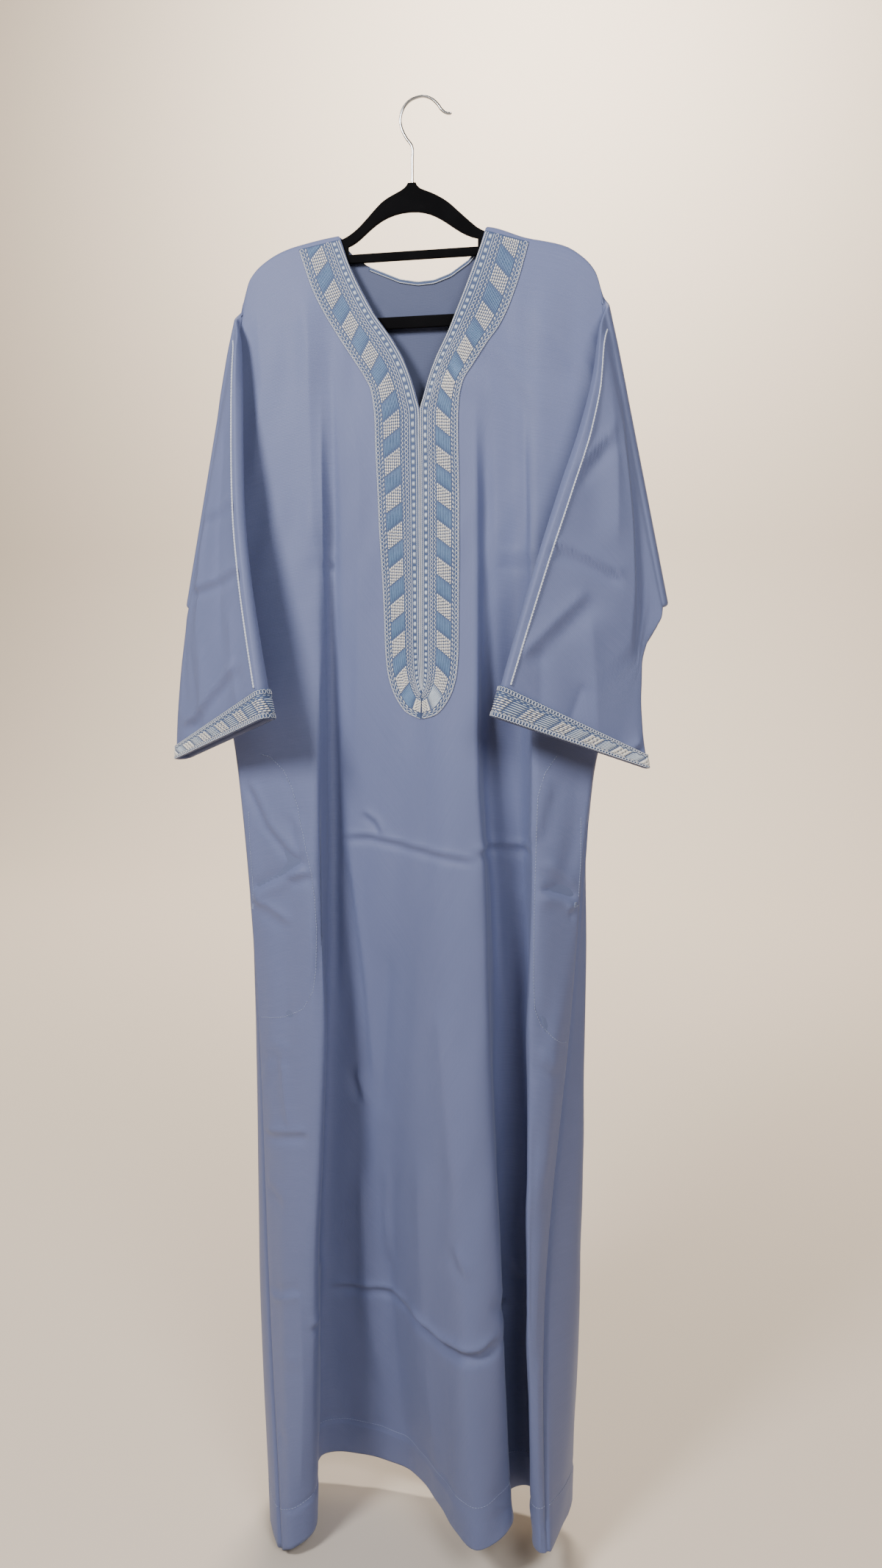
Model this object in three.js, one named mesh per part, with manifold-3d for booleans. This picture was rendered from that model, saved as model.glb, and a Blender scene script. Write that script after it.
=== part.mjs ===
// A long blue thobe, hung flat on a slim hanger.
// Millimetres, +Z up. The front of the garment faces -Y, +X is to the viewer's right.
// The origin is the inside top of the hanger's hook, where it rests on a peg.

import * as THREE from 'three';
import { mergeVertices } from 'three/addons/utils/BufferGeometryUtils.js';
import Module from 'manifold-3d';

const wasm = await Module();
wasm.setup();

// Sizes of the garment and its hanger.

const WALL = 1.4; // cloth wall of the panels and sleeves
const HALF_SEAM = 0.15; // each side of a seam stays this far from its middle
const LAY_GAP = 0.45; // a trimming lies this far off the cloth that carries it
const CAP_RADIUS = 4.4; // the cloth rounds over the hanger arm with this radius
const UNDERARM_Z = -560; // height of both underarm points
const ARMHOLE_END_Z = -550; // the armhole edges start to close here
const TOP_BLEND_Z = -300; // below this height the rows of the panels are level

const LEFT_SHOULDER_TIP = { x: -214, z: -205 };
const LEFT_UNDERARM = { x: -289, z: UNDERARM_Z };
const RIGHT_SHOULDER_TIP = { x: 201, z: -214 };
const RIGHT_UNDERARM = { x: 277, z: UNDERARM_Z };

// Height of the shoulder line across the garment.
const SHOULDER_LINE = [
  { x: -214, z: -205 },
  { x: -205, z: -179 },
  { x: -188, z: -163 },
  { x: -166, z: -152 },
  { x: -148, z: -147 },
  { x: -97, z: -139 },
  { x: -12, z: -134 },
  { x: 73, z: -140 },
  { x: 119, z: -155 },
  { x: 141, z: -160 },
  { x: 161, z: -166 },
  { x: 182, z: -180 },
  { x: 195, z: -196 },
  { x: 201, z: -214 },
];

// Level sections of the front panel, each value a pair x, y.
// The columns run from the left side seam to the right one: the flank beside the seam,
// the left fold's nose, the hollow behind it, the flat middle, the big centre fold's crest
// and its right edge, the deep hollow's two corners, the right fold's nose and its flank.
const FRONT_SECTIONS = [
  {
    z: -240, turn: 0, leftEdge: [-222, -4.4], leftFlank: [-196, -8], leftFold: [-138, -10],
    hollow: [-112, -9.5], middle: [-63, -11], crest: [20, -13], crestEdge: [55, -12.5],
    deepLeft: [74, -11.5], deepRight: [94, -11], rightFold: [118, -12],
    rightFlank: [182, -8], rightEdge: [207, -4.4],
  },
  {
    z: -400, turn: 0, leftEdge: [-255, -4.4], leftFlank: [-222, -10], leftFold: [-134, -15],
    hollow: [-112, -11], middle: [-64, -13], crest: [25, -19], crestEdge: [64, -17],
    deepLeft: [84, -14], deepRight: [104, -13], rightFold: [125, -19],
    rightFlank: [199, -10], rightEdge: [242, -4.4],
  },
  {
    z: -550, turn: 0, leftEdge: [-287, -4.4], leftFlank: [-226, -13], leftFold: [-126, -23],
    hollow: [-115, -10], middle: [-61, -14], crest: [30, -31], crestEdge: [69, -27],
    deepLeft: [88, -16], deepRight: [110, -12], rightFold: [130, -29],
    rightFlank: [202, -13], rightEdge: [275, -4.4],
  },
  {
    z: -560, turn: 1, leftEdge: [-289, -0.2], leftFlank: [-226, -13], leftFold: [-126, -24],
    hollow: [-115, -10], middle: [-61, -14], crest: [30, -32], crestEdge: [69, -28],
    deepLeft: [88, -16], deepRight: [110, -12], rightFold: [130, -30],
    rightFlank: [202, -13], rightEdge: [277, -0.2],
  },
  {
    z: -660, turn: 1, leftEdge: [-252, -3], leftFlank: [-228, -15], leftFold: [-121, -32],
    hollow: [-117, -10], middle: [-58, -16], crest: [34, -43], crestEdge: [71, -40],
    deepLeft: [86, -20], deepRight: [114, -14], rightFold: [133, -38],
    rightFlank: [198, -16], rightEdge: [228, -3],
  },
  {
    z: -760, turn: 1, leftEdge: [-234, -8], leftFlank: [-218, -18], leftFold: [-116, -42],
    hollow: [-117, -10], middle: [-56, -18], crest: [38, -55], crestEdge: [74, -52],
    deepLeft: [84, -22], deepRight: [116, -16], rightFold: [136, -46],
    rightFlank: [186, -20], rightEdge: [204, -8],
  },
  {
    z: -1050, turn: 0.3, leftEdge: [-209, -30], leftFlank: [-165, -58], leftFold: [-108, -72],
    hollow: [-119, -14], middle: [-57, -24], crest: [52, -85], crestEdge: [90, -78],
    deepLeft: [92, -28], deepRight: [126, -18], rightFold: [140, -75],
    rightFlank: [166, -64], rightEdge: [185, -35],
  },
  {
    z: -1380, turn: 0, leftEdge: [-188, -70], leftFlank: [-154, -96], leftFold: [-116, -98],
    hollow: [-131, -16], middle: [-46, -26], crest: [75, -120], crestEdge: [112, -102],
    deepLeft: [104, -34], deepRight: [134, -20], rightFold: [145, -105],
    rightFlank: [156, -101], rightEdge: [165, -84],
  },
  {
    z: -1700, turn: 0, leftEdge: [-154, -138], leftFlank: [-136, -136], leftFold: [-116, -115],
    hollow: [-136, -18], middle: [-19, -24], crest: [94, -145], crestEdge: [129, -112],
    deepLeft: [116, -40], deepRight: [142, -22], rightFold: [157, -122],
    rightFlank: [166, -136], rightEdge: [177, -137],
  },
];
const FRONT_COLUMNS = [
  { name: 'leftEdge', steps: 1, hem: -1703 },
  { name: 'leftLip', steps: 1, hem: -1703 },
  { name: 'leftCheek', steps: 3, hem: -1702 },
  { name: 'leftFlank', steps: 3, hem: -1698 },
  { name: 'leftFold', steps: 4, hem: -1688 },
  { name: 'hollow', steps: 4, hem: -1664 },
  { name: 'middle', steps: 5, hem: -1660 },
  { name: 'crest', steps: 3, hem: -1652 },
  { name: 'crestEdge', steps: 3, hem: -1640 },
  { name: 'deepLeft', steps: 2, hem: -1656 },
  { name: 'deepRight', steps: 3, hem: -1662 },
  { name: 'rightFold', steps: 3, hem: -1652 },
  { name: 'rightFlank', steps: 2, hem: -1650 },
  { name: 'rightCheek', steps: 1, hem: -1650 },
  { name: 'rightLip', steps: 1, hem: -1650 },
  { name: 'rightEdge', steps: 0, hem: -1650 },
];

// Level sections of the back panel: the side beyond the seam, the corner and the flat back.
const BACK_SECTIONS = [
  {
    z: -240, turn: 0, leftEdge: [-222, 4.4], leftSide: [-206, 5.5], leftCorner: [-150, 8],
    middle: [-8, 9], rightCorner: [140, 8], rightSide: [191, 5.5], rightEdge: [207, 4.4],
  },
  {
    z: -400, turn: 0, leftEdge: [-255, 4.4], leftSide: [-238, 5.5], leftCorner: [-170, 8],
    middle: [-8, 10], rightCorner: [158, 8], rightSide: [225, 5.5], rightEdge: [242, 4.4],
  },
  {
    z: -550, turn: 0, leftEdge: [-287, 4.4], leftSide: [-262, 5.5], leftCorner: [-190, 9],
    middle: [-8, 11], rightCorner: [175, 9], rightSide: [250, 5.5], rightEdge: [275, 4.4],
  },
  {
    z: -560, turn: 1, leftEdge: [-289, 0.2], leftSide: [-264, 5.5], leftCorner: [-190, 9],
    middle: [-8, 11], rightCorner: [175, 9], rightSide: [252, 5.5], rightEdge: [277, 0.2],
  },
  {
    z: -660, turn: 1, leftEdge: [-252, -2.6], leftSide: [-236, 4], leftCorner: [-190, 9],
    middle: [-8, 12], rightCorner: [175, 9], rightSide: [212, 4], rightEdge: [228, -2.6],
  },
  {
    z: -760, turn: 1, leftEdge: [-234, -7.6], leftSide: [-222, 0], leftCorner: [-185, 7],
    middle: [-8, 12], rightCorner: [165, 7], rightSide: [194, 0], rightEdge: [204, -7.6],
  },
  {
    z: -1050, turn: 0.3, leftEdge: [-209, -29.7], leftSide: [-215, -15], leftCorner: [-196, 3],
    middle: [-8, 13], rightCorner: [180, 2], rightSide: [199, -12], rightEdge: [185, -34.7],
  },
  {
    z: -1380, turn: 0, leftEdge: [-188.3, -69.8], leftSide: [-206, -46], leftCorner: [-200, -4],
    middle: [-8, 13], rightCorner: [190, -2], rightSide: [198, -42], rightEdge: [165.3, -83.8],
  },
  {
    z: -1700, turn: 0, leftEdge: [-154.4, -137.8], leftSide: [-177, -104],
    leftCorner: [-190, -14], middle: [-8, 12], rightCorner: [188, -14],
    rightSide: [186, -88], rightEdge: [177.3, -136.7],
  },
];
const BACK_COLUMNS = [
  { name: 'leftEdge', steps: 1, hem: -1703 },
  { name: 'leftLip', steps: 1, hem: -1703 },
  { name: 'leftCheek', steps: 2, hem: -1702 },
  { name: 'leftSide', steps: 4, hem: -1694 },
  { name: 'leftCorner', steps: 4, hem: -1676 },
  { name: 'middle', steps: 4, hem: -1668 },
  { name: 'rightCorner', steps: 4, hem: -1664 },
  { name: 'rightSide', steps: 2, hem: -1654 },
  { name: 'rightCheek', steps: 1, hem: -1651 },
  { name: 'rightLip', steps: 1, hem: -1650 },
  { name: 'rightEdge', steps: 0, hem: -1650 },
];
const LIP_IN = 1.5; // first point beside a side seam
const LIP_DEPTH = 3.0;
const CHEEK_IN = 6.0; // second point beside a side seam
const CHEEK_DEPTH = 4.2;

// Heights of the level rows, and how far the rows above them reach from the shoulder.
const CAP_ANGLES = [0, Math.PI / 4, Math.PI / 2];
const TOP_BLENDS = [0.22, 0.48, 0.74];
const LEVEL_ROWS = [
  -300, -350, -400, -450, -500, -550, -556, -560, -600, -660, -710, -760, -830, -900, -975,
  -1050, -1130, -1215, -1300, -1380, -1460, -1540, -1620,
];

// The V of the front neck and the shallow curve of the back neck.
const NECK_TOP_Z = -100; // the cutting outlines reach up to here, above the shoulders
const NECK_CUT_NEAR = 2; // the front's cut ends this far behind the middle, the back's before
const NECK_CUT_FAR = 80; // and each reaches this far out
const FRONT_NECK = [
  { x: -97, z: -139 }, { x: -86, z: -170 }, { x: -72, z: -198 }, { x: -54, z: -230 },
  { x: -33, z: -258 }, { x: -21, z: -278 }, { x: -11, z: -302 }, { x: -5, z: -321 },
  { x: -0.6, z: -338 }, { x: 4, z: -319 }, { x: 10, z: -300 }, { x: 19, z: -278 },
  { x: 31, z: -255 }, { x: 42, z: -229 }, { x: 56, z: -191 }, { x: 66, z: -164 },
  { x: 73, z: -140 },
];
const BACK_NECK = [
  { x: -97, z: -139 }, { x: -86, z: -157 }, { x: -66, z: -172 }, { x: -47, z: -180 },
  { x: -28, z: -188 }, { x: -7, z: -192 }, { x: 12, z: -191 }, { x: 31, z: -185 },
  { x: 52, z: -172 }, { x: 66, z: -157 }, { x: 73, z: -140 },
];

// The embroidered band: pairs of points on its inner and outer edges, from the shoulder
// down the V and along the chest slit to the round tip.
const LEFT_BAND = [
  { inner: [-96.4, -144.6], outer: [-145, -152.6] },
  { inner: [-90, -160], outer: [-138, -172] },
  { inner: [-82, -179], outer: [-129, -196] },
  { inner: [-69, -205], outer: [-116, -222] },
  { inner: [-54, -230.5], outer: [-100, -248] },
  { inner: [-36, -255], outer: [-82, -275] },
  { inner: [-21.5, -279], outer: [-67, -297] },
  { inner: [-11.5, -303], outer: [-59, -313] },
  { inner: [-5.5, -323], outer: [-56, -330] },
  { inner: [-1.2, -340], outer: [-54.5, -347] },
  { inner: [-0.6, -370], outer: [-54, -372] },
  { inner: [0.1, -412], outer: [-52, -412] },
  { inner: [0.8, -455], outer: [-50, -455] },
  { inner: [1.5, -498], outer: [-47.5, -498] },
  { inner: [2.2, -540], outer: [-45, -540] },
  { inner: [2.8, -575], outer: [-43.5, -576] },
  { inner: [3.4, -607], outer: [-42, -609] },
  { inner: [3.8, -622], outer: [-39.5, -632] },
  { inner: [4.2, -634], outer: [-34, -652] },
  { inner: [4.5, -642], outer: [-25, -669] },
  { inner: [4.8, -648], outer: [-13, -682] },
  { inner: [5.1, -652], outer: [4.4, -688] },
];
const RIGHT_BAND = [
  { inner: [72.4, -145.6], outer: [121, -160.6] },
  { inner: [67, -161], outer: [117, -177] },
  { inner: [60.5, -180], outer: [112, -196] },
  { inner: [50, -208], outer: [103, -222] },
  { inner: [41, -230.5], outer: [91, -246] },
  { inner: [30.5, -256], outer: [74, -270] },
  { inner: [19, -279], outer: [60, -290] },
  { inner: [10.5, -300], outer: [49.5, -307] },
  { inner: [4.5, -320], outer: [45, -326] },
  { inner: [-0.6, -340], outer: [44, -347] },
  { inner: [-0.2, -370], outer: [44.4, -372] },
  { inner: [0.5, -412], outer: [45.8, -412] },
  { inner: [1.2, -455], outer: [47, -455] },
  { inner: [1.9, -498], outer: [47.6, -498] },
  { inner: [2.6, -540], outer: [48, -540] },
  { inner: [3.2, -575], outer: [48.6, -576] },
  { inner: [3.8, -607], outer: [49, -609] },
  { inner: [4.2, -622], outer: [48, -632] },
  { inner: [4.6, -634], outer: [44, -652] },
  { inner: [4.9, -642], outer: [36, -669] },
  { inner: [5.2, -648], outer: [24, -682] },
  { inner: [5.5, -652], outer: [6.2, -688] },
];
// Height of the embroidery across the band: the rope and braids stand proud of the blocks.
const BAND_PROFILE = [
  { across: 0.0, rise: 1.3 },
  { across: 0.05, rise: 1.9 },
  { across: 0.13, rise: 1.2 },
  { across: 0.22, rise: 1.2 },
  { across: 0.31, rise: 1.8 },
  { across: 0.38, rise: 1.2 },
  { across: 0.46, rise: 1.5 },
  { across: 0.79, rise: 1.5 },
  { across: 0.85, rise: 1.1 },
  { across: 0.93, rise: 1.8 },
  { across: 1.0, rise: 1.2 },
];
const BINDING_FROM_EDGE = 0.6; // below the cut edge of the back neck
const BINDING_WIDTH = 4.5;
const BINDING_THICK = 1.0;

// Sleeves: the rows after the fold at the armhole, down to the cuff. upper is the top line
// with the braided cord, under is the underarm seam. back is how far the layer next to the
// body stands off the middle, front and wing how far the outer layer does, before and
// behind the soft fold at fold (0 upper, 1 under).
const FOLD_PIVOT = 5.6; // the sleeve turns forward round a line this far ahead of the armhole
const SLEEVE_EDGE_RADIUS = 4.4;
const LEFT_SLEEVE_ROWS = [
  { upper: [-213, -21, -252], under: [-290, -14, -572], back: 4.4, front: 6.5, wing: 3.6, fold: 0.55 },
  { upper: [-210, -30, -305], under: [-291, -15, -588], back: 4.4, front: 7.5, wing: 4, fold: 0.62 },
  { upper: [-206, -43, -368], under: [-293, -16, -607], back: 4.4, front: 7.5, wing: 4.6, fold: 0.7 },
  { upper: [-200, -59, -438], under: [-296, -17, -631], back: 4.6, front: 7, wing: 5.2, fold: 0.74 },
  { upper: [-189, -77, -510], under: [-299, -18, -661], back: 5.5, front: 6.6, wing: 6, fold: 0.7 },
  { upper: [-173, -95, -592], under: [-302, -19, -699], back: 7.5, front: 7, wing: 7, fold: 0.6 },
  { upper: [-154, -112, -684], under: [-304, -20, -744], back: 10, front: 8, wing: 8, fold: 0.5 },
];
const RIGHT_SLEEVE_ROWS = [
  { upper: [201, -21, -258], under: [276, -14, -570], back: 4.4, front: 9, wing: 3.2, fold: 0.42 },
  { upper: [196, -29, -306], under: [269, -14, -584], back: 4.4, front: 11, wing: 3.2, fold: 0.62 },
  { upper: [185, -41, -360], under: [259, -15, -603], back: 4.4, front: 12, wing: 4, fold: 0.8 },
  { upper: [165, -57, -428], under: [254, -18, -629], back: 4.6, front: 11, wing: 6, fold: 0.86 },
  { upper: [144, -73, -502], under: [254, -22, -659], back: 5.5, front: 8.5, wing: 7, fold: 0.76 },
  { upper: [123, -87, -582], under: [257, -27, -696], back: 7.5, front: 7, wing: 7, fold: 0.6 },
  { upper: [98, -99, -679], under: [264, -32, -740], back: 10, front: 8, wing: 8, fold: 0.5 },
];
const FOLD_STEP_WIDTH = 0.05; // half width of the soft fold's step, as a share of the row
const FOLD_ANGLES = [0, 30, 60, 95, 135, 180]; // turns of the fold beside the armhole, degrees
const EDGE_FIRST = 0.006; // places close to a sleeve's edge, where its layers turn round
const EDGE_SECOND = 0.022;
const CUFF_HEIGHT = 25;
const CUFF_GAP = 0.6;
const CUFF_PROFILE = [
  { up: 1.0, rise: 1.1 },
  { up: 0.86, rise: 1.7 },
  { up: 0.7, rise: 1.1 },
  { up: 0.26, rise: 1.1 },
  { up: 0.12, rise: 1.7 },
  { up: 0.0, rise: 1.1 },
];
const CORD_RADIUS = 1.5;
const CORD_GAP = 0.7;
const CORD_END_GAP = 4; // the cord ends this far above the cuff band
const CORD_START_LIFT = 1.8; // the cord stands a little higher where the sleeve turns over
const CORD_FROM_EDGE_TOP = 20; // the cord's distance from the sleeve's inner fold
const CORD_FROM_EDGE_CUFF = 7;

// Pocket bags behind the front panel: the outline of each, from the side seam inwards.
const POCKET_BAG_WALL = 1.1;
const POCKET_GAP = 0.5;
const POCKET_TOP_ROW = -710; // the bags are cut from these rows of the front panel
const POCKET_BOTTOM_ROW = -1130;
const POCKET_COLUMNS = 8;
const POCKET_FRONT_Y = -120;
const POCKET_BACK_Y = 20;
const LEFT_POCKET = [
  { x: -260, z: -752 }, { x: -200, z: -750 }, { x: -176, z: -757 }, { x: -152, z: -798 },
  { x: -132, z: -850 }, { x: -122, z: -905 }, { x: -119, z: -955 }, { x: -121, z: -1005 },
  { x: -135, z: -1041 }, { x: -165, z: -1060 }, { x: -260, z: -1070 },
];
const RIGHT_POCKET = [
  { x: 240, z: -735 }, { x: 190, z: -738 }, { x: 168, z: -750 }, { x: 153, z: -785 },
  { x: 147, z: -830 }, { x: 145, z: -900 }, { x: 146, z: -975 }, { x: 150, z: -1020 },
  { x: 160, z: -1050 }, { x: 176, z: -1068 }, { x: 240, z: -1064 },
];

// Hanger.
const HANGER_THICK = 5;
const WIRE_RADIUS = 1.6;
const HANGER_DROP = 3.9; // the arm's top edge lies this far below the cloth's shoulder line
const HOOK_PATH = [
  [-12, -87.7], [-12, -66], [-12.2, -50], [-19, -40], [-24, -30], [-25.5, -20], [-22, -9],
  [-14, -1.5], [0, 1.6], [10, -1.8], [17, -8], [22, -14.5], [27, -18], [33, -19],
];
const BAR_TOP = -231;
const BAR_BOTTOM = -244;
const TIE_BAR_TOP = -160.5;
const TIE_BAR_BOTTOM = -170;

// Looks of the materials.

const CLOTH = { color: 0x8f9dc9, roughness: 0.62, metalness: 0.0 };
const THREAD = { color: 0xe6e2da, roughness: 0.55, metalness: 0.0 };
const SILVER = { color: 0xb9bfc9, roughness: 0.45, metalness: 0.3 };
const FLOCK = { color: 0x121214, roughness: 0.95, metalness: 0.0 };
const CHROME = { color: 0xc8ccd0, roughness: 0.2, metalness: 1.0 };

function clamp(value, low, high) {
  return Math.min(high, Math.max(low, value));
}

function smoothStep(value) {
  const t = clamp(value, 0, 1);
  return t * t * (3 - 2 * t);
}

// Piecewise cubic through rising keys, without overshoot.
function smoothTable(keys, values, at) {
  const last = keys.length - 1;
  if (at <= keys[0]) {
    return values[0];
  }
  if (at >= keys[last]) {
    return values[last];
  }
  let i = 0;
  while (at > keys[i + 1]) {
    i += 1;
  }
  const slope = (k) => (values[k + 1] - values[k]) / (keys[k + 1] - keys[k]);
  const tangent = (k) => {
    if (k === 0) {
      return slope(0);
    }
    if (k === last) {
      return slope(last - 1);
    }
    const before = slope(k - 1);
    const after = slope(k);
    if (before * after <= 0) {
      return 0;
    }
    return (2 * before * after) / (before + after);
  };
  const span = keys[i + 1] - keys[i];
  const t = (at - keys[i]) / span;
  const t2 = t * t;
  const t3 = t2 * t;
  return (2 * t3 - 3 * t2 + 1) * values[i] + (t3 - 2 * t2 + t) * span * tangent(i)
    + (3 * t2 - 2 * t3) * values[i + 1] + (t3 - t2) * span * tangent(i + 1);
}

function makeMesh(name, geometry, look) {
  const mesh = new THREE.Mesh(geometry, new THREE.MeshStandardMaterial(look));
  mesh.name = name;
  return mesh;
}

// Turns triangles over if the solid they close has a negative volume.
function facingOut(positions, triangles) {
  let volume = 0;
  for (const [a, b, c] of triangles) {
    volume += positions[a].dot(new THREE.Vector3().crossVectors(positions[b], positions[c]));
  }
  if (volume < 0) {
    return triangles.map(([a, b, c]) => [a, c, b]);
  }
  return triangles;
}

function solidGeometry(positions, triangles) {
  const geometry = new THREE.BufferGeometry();
  const flat = positions.flatMap((p) => [p.x, p.y, p.z]);
  geometry.setAttribute('position', new THREE.Float32BufferAttribute(flat, 3));
  geometry.setIndex(facingOut(positions, triangles).flat());
  geometry.computeVertexNormals();
  return geometry;
}

// A sheet with two faces and four edges, from two grids of points of the same size.
function sheetSolid(outside, inside) {
  const rows = outside.length;
  const columns = outside[0].length;
  const positions = [...outside.flat(), ...inside.flat()];
  const outer = (r, c) => r * columns + c;
  const inner = (r, c) => rows * columns + r * columns + c;
  const triangles = [];
  const quad = (a, b, c, d) => triangles.push([a, b, c], [a, c, d]);
  for (let r = 0; r + 1 < rows; r += 1) {
    for (let c = 0; c + 1 < columns; c += 1) {
      quad(outer(r, c), outer(r + 1, c), outer(r + 1, c + 1), outer(r, c + 1));
      quad(inner(r, c), inner(r, c + 1), inner(r + 1, c + 1), inner(r + 1, c));
    }
  }
  for (let c = 0; c + 1 < columns; c += 1) {
    quad(outer(0, c), outer(0, c + 1), inner(0, c + 1), inner(0, c));
    const r = rows - 1;
    quad(outer(r, c + 1), outer(r, c), inner(r, c), inner(r, c + 1));
  }
  for (let r = 0; r + 1 < rows; r += 1) {
    quad(outer(r + 1, 0), outer(r, 0), inner(r, 0), inner(r + 1, 0));
    const c = columns - 1;
    quad(outer(r, c), outer(r + 1, c), inner(r + 1, c), inner(r, c));
  }
  return solidGeometry(positions, triangles);
}

// A tube wall open at both ends, from outer and inner rings.
function tubeSolid(outside, inside) {
  const rows = outside.length;
  const around = outside[0].length;
  const positions = [...outside.flat(), ...inside.flat()];
  const outer = (r, c) => r * around + (c % around);
  const inner = (r, c) => rows * around + r * around + (c % around);
  const triangles = [];
  const quad = (a, b, c, d) => triangles.push([a, b, c], [a, c, d]);
  for (let c = 0; c < around; c += 1) {
    for (let r = 0; r + 1 < rows; r += 1) {
      quad(outer(r, c), outer(r + 1, c), outer(r + 1, c + 1), outer(r, c + 1));
      quad(inner(r, c), inner(r, c + 1), inner(r + 1, c + 1), inner(r + 1, c));
    }
    quad(outer(0, c), outer(0, c + 1), inner(0, c + 1), inner(0, c));
    const r = rows - 1;
    quad(outer(r, c + 1), outer(r, c), inner(r, c), inner(r, c + 1));
  }
  return solidGeometry(positions, triangles);
}

function movedGrid(grid, normals, distance) {
  return grid.map((row, r) => row.map((point, c) => (
    point.clone().addScaledVector(normals[r][c], distance))));
}

function toManifold(geometry) {
  const plain = geometry.clone();
  plain.deleteAttribute('normal');
  plain.deleteAttribute('uv');
  const merged = mergeVertices(plain, 1e-4);
  return new wasm.Manifold(new wasm.Mesh({
    numProp: 3,
    vertProperties: new Float32Array(merged.attributes.position.array),
    triVerts: new Uint32Array(merged.index.array),
  }));
}

function fromManifold(solid) {
  const mesh = solid.getMesh();
  const geometry = new THREE.BufferGeometry();
  const points = new Float32Array(mesh.vertProperties);
  geometry.setAttribute('position', new THREE.BufferAttribute(points, 3));
  geometry.setIndex(new THREE.BufferAttribute(new Uint32Array(mesh.triVerts), 1));
  geometry.computeVertexNormals();
  return geometry;
}

// A prism with its outline in x and z, between two depths.
function uprightPrism(outline, nearY, farY) {
  const shape = new THREE.Shape(outline.map((p) => new THREE.Vector2(p.x, p.z)));
  const geometry = new THREE.ExtrudeGeometry(shape, {
    depth: farY - nearY, bevelEnabled: false, steps: 1,
  });
  geometry.rotateX(Math.PI / 2);
  geometry.translate(0, farY, 0);
  return geometry;
}

// The front and back panels.

const SHOULDER_X = SHOULDER_LINE.map((p) => p.x);
const SHOULDER_Z = SHOULDER_LINE.map((p) => p.z);

function shoulderHeight(x) {
  return smoothTable(SHOULDER_X, SHOULDER_Z, x);
}

function armholeX(tip, underarm, z) {
  const share = clamp((z - tip.z) / (underarm.z - tip.z), 0, 1);
  return tip.x + (underarm.x - tip.x) * share;
}

function tableValue(sections, name, index, z) {
  const keys = sections.map((row) => -row.z);
  const values = sections.map((row) => (name === 'turn' ? row.turn : row[name][index]));
  return smoothTable(keys, values, -z);
}

// The control points of a section at height z, with the lips beside the side seams.
function sectionPoints(sections, columns, z, facing) {
  const named = (name) => new THREE.Vector2(
    tableValue(sections, name, 0, z), tableValue(sections, name, 1, z));
  const turn = tableValue(sections, 'turn', 0, z);
  const points = {};
  for (const column of columns) {
    if (sections[0][column.name]) {
      points[column.name] = named(column.name);
    }
  }
  if (z >= UNDERARM_Z) {
    points.leftEdge.x = armholeX(LEFT_SHOULDER_TIP, LEFT_UNDERARM, z) + HALF_SEAM;
    points.rightEdge.x = armholeX(RIGHT_SHOULDER_TIP, RIGHT_UNDERARM, z) - HALF_SEAM;
  }
  const order = columns.map((column) => column.name);
  for (const side of ['left', 'right']) {
    const edge = points[`${side}Edge`];
    const next = points[side === 'left' ? order[3] : order[order.length - 4]];
    const inward = new THREE.Vector2().subVectors(next, edge).normalize();
    points[`${side}Lip`] = edge.clone().addScaledVector(inward, LIP_IN);
    points[`${side}Lip`].y += facing * LIP_DEPTH * turn;
    points[`${side}Cheek`] = edge.clone().addScaledVector(inward, CHEEK_IN);
    points[`${side}Cheek`].y += facing * CHEEK_DEPTH * turn;
  }
  return order.map((name) => points[name]);
}

// Points of a whole section: each stretch between control points in a fixed number of steps.
function sectionRow(sections, columns, z, facing) {
  const control = sectionPoints(sections, columns, z, facing);
  const curve = new THREE.CatmullRomCurve3(
    control.map((p) => new THREE.Vector3(p.x, p.y, 0)), false, 'centripetal');
  const row = [];
  const stretches = control.length - 1;
  for (let i = 0; i < stretches; i += 1) {
    for (let k = 0; k < columns[i].steps; k += 1) {
      const share = k / columns[i].steps;
      const point = curve.getPoint((i + share) / stretches);
      const hem = columns[i].hem + (columns[i + 1].hem - columns[i].hem) * share;
      row.push({ x: point.x, y: point.y, hem });
    }
  }
  const end = control[stretches];
  row.push({ x: end.x, y: end.y, hem: columns[stretches].hem });
  return row;
}

// The points of the cap over the hanger arm and of the rows between it and the level rows.
function shoulderRows(sections, columns, facing) {
  const top = sectionRow(sections, columns, sections[0].z, facing);
  const joined = sectionRow(sections, columns, TOP_BLEND_Z, facing);
  const from = top[0].x;
  const width = top[top.length - 1].x - from;
  const tipLeft = LEFT_SHOULDER_TIP.x + HALF_SEAM;
  const tipWidth = RIGHT_SHOULDER_TIP.x - HALF_SEAM - tipLeft;
  const places = top.map((p) => tipLeft + ((p.x - from) / width) * tipWidth);
  const rows = CAP_ANGLES.map((angle) => places.map((x) => {
    const y = Math.max(CAP_RADIUS * Math.sin(angle), HALF_SEAM);
    const z = shoulderHeight(x) - CAP_RADIUS * (1 - Math.cos(angle));
    return new THREE.Vector3(x, facing * y, z);
  }));
  for (const blend of TOP_BLENDS) {
    rows.push(places.map((capX, c) => {
      const capZ = shoulderHeight(capX) - CAP_RADIUS;
      const swell = Math.sqrt(smoothStep(blend * 1.15));
      return new THREE.Vector3(
        capX + (joined[c].x - capX) * blend,
        facing * CAP_RADIUS + (joined[c].y - facing * CAP_RADIUS) * swell,
        capZ + (TOP_BLEND_Z - capZ) * blend,
      );
    }));
  }
  return rows;
}

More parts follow.
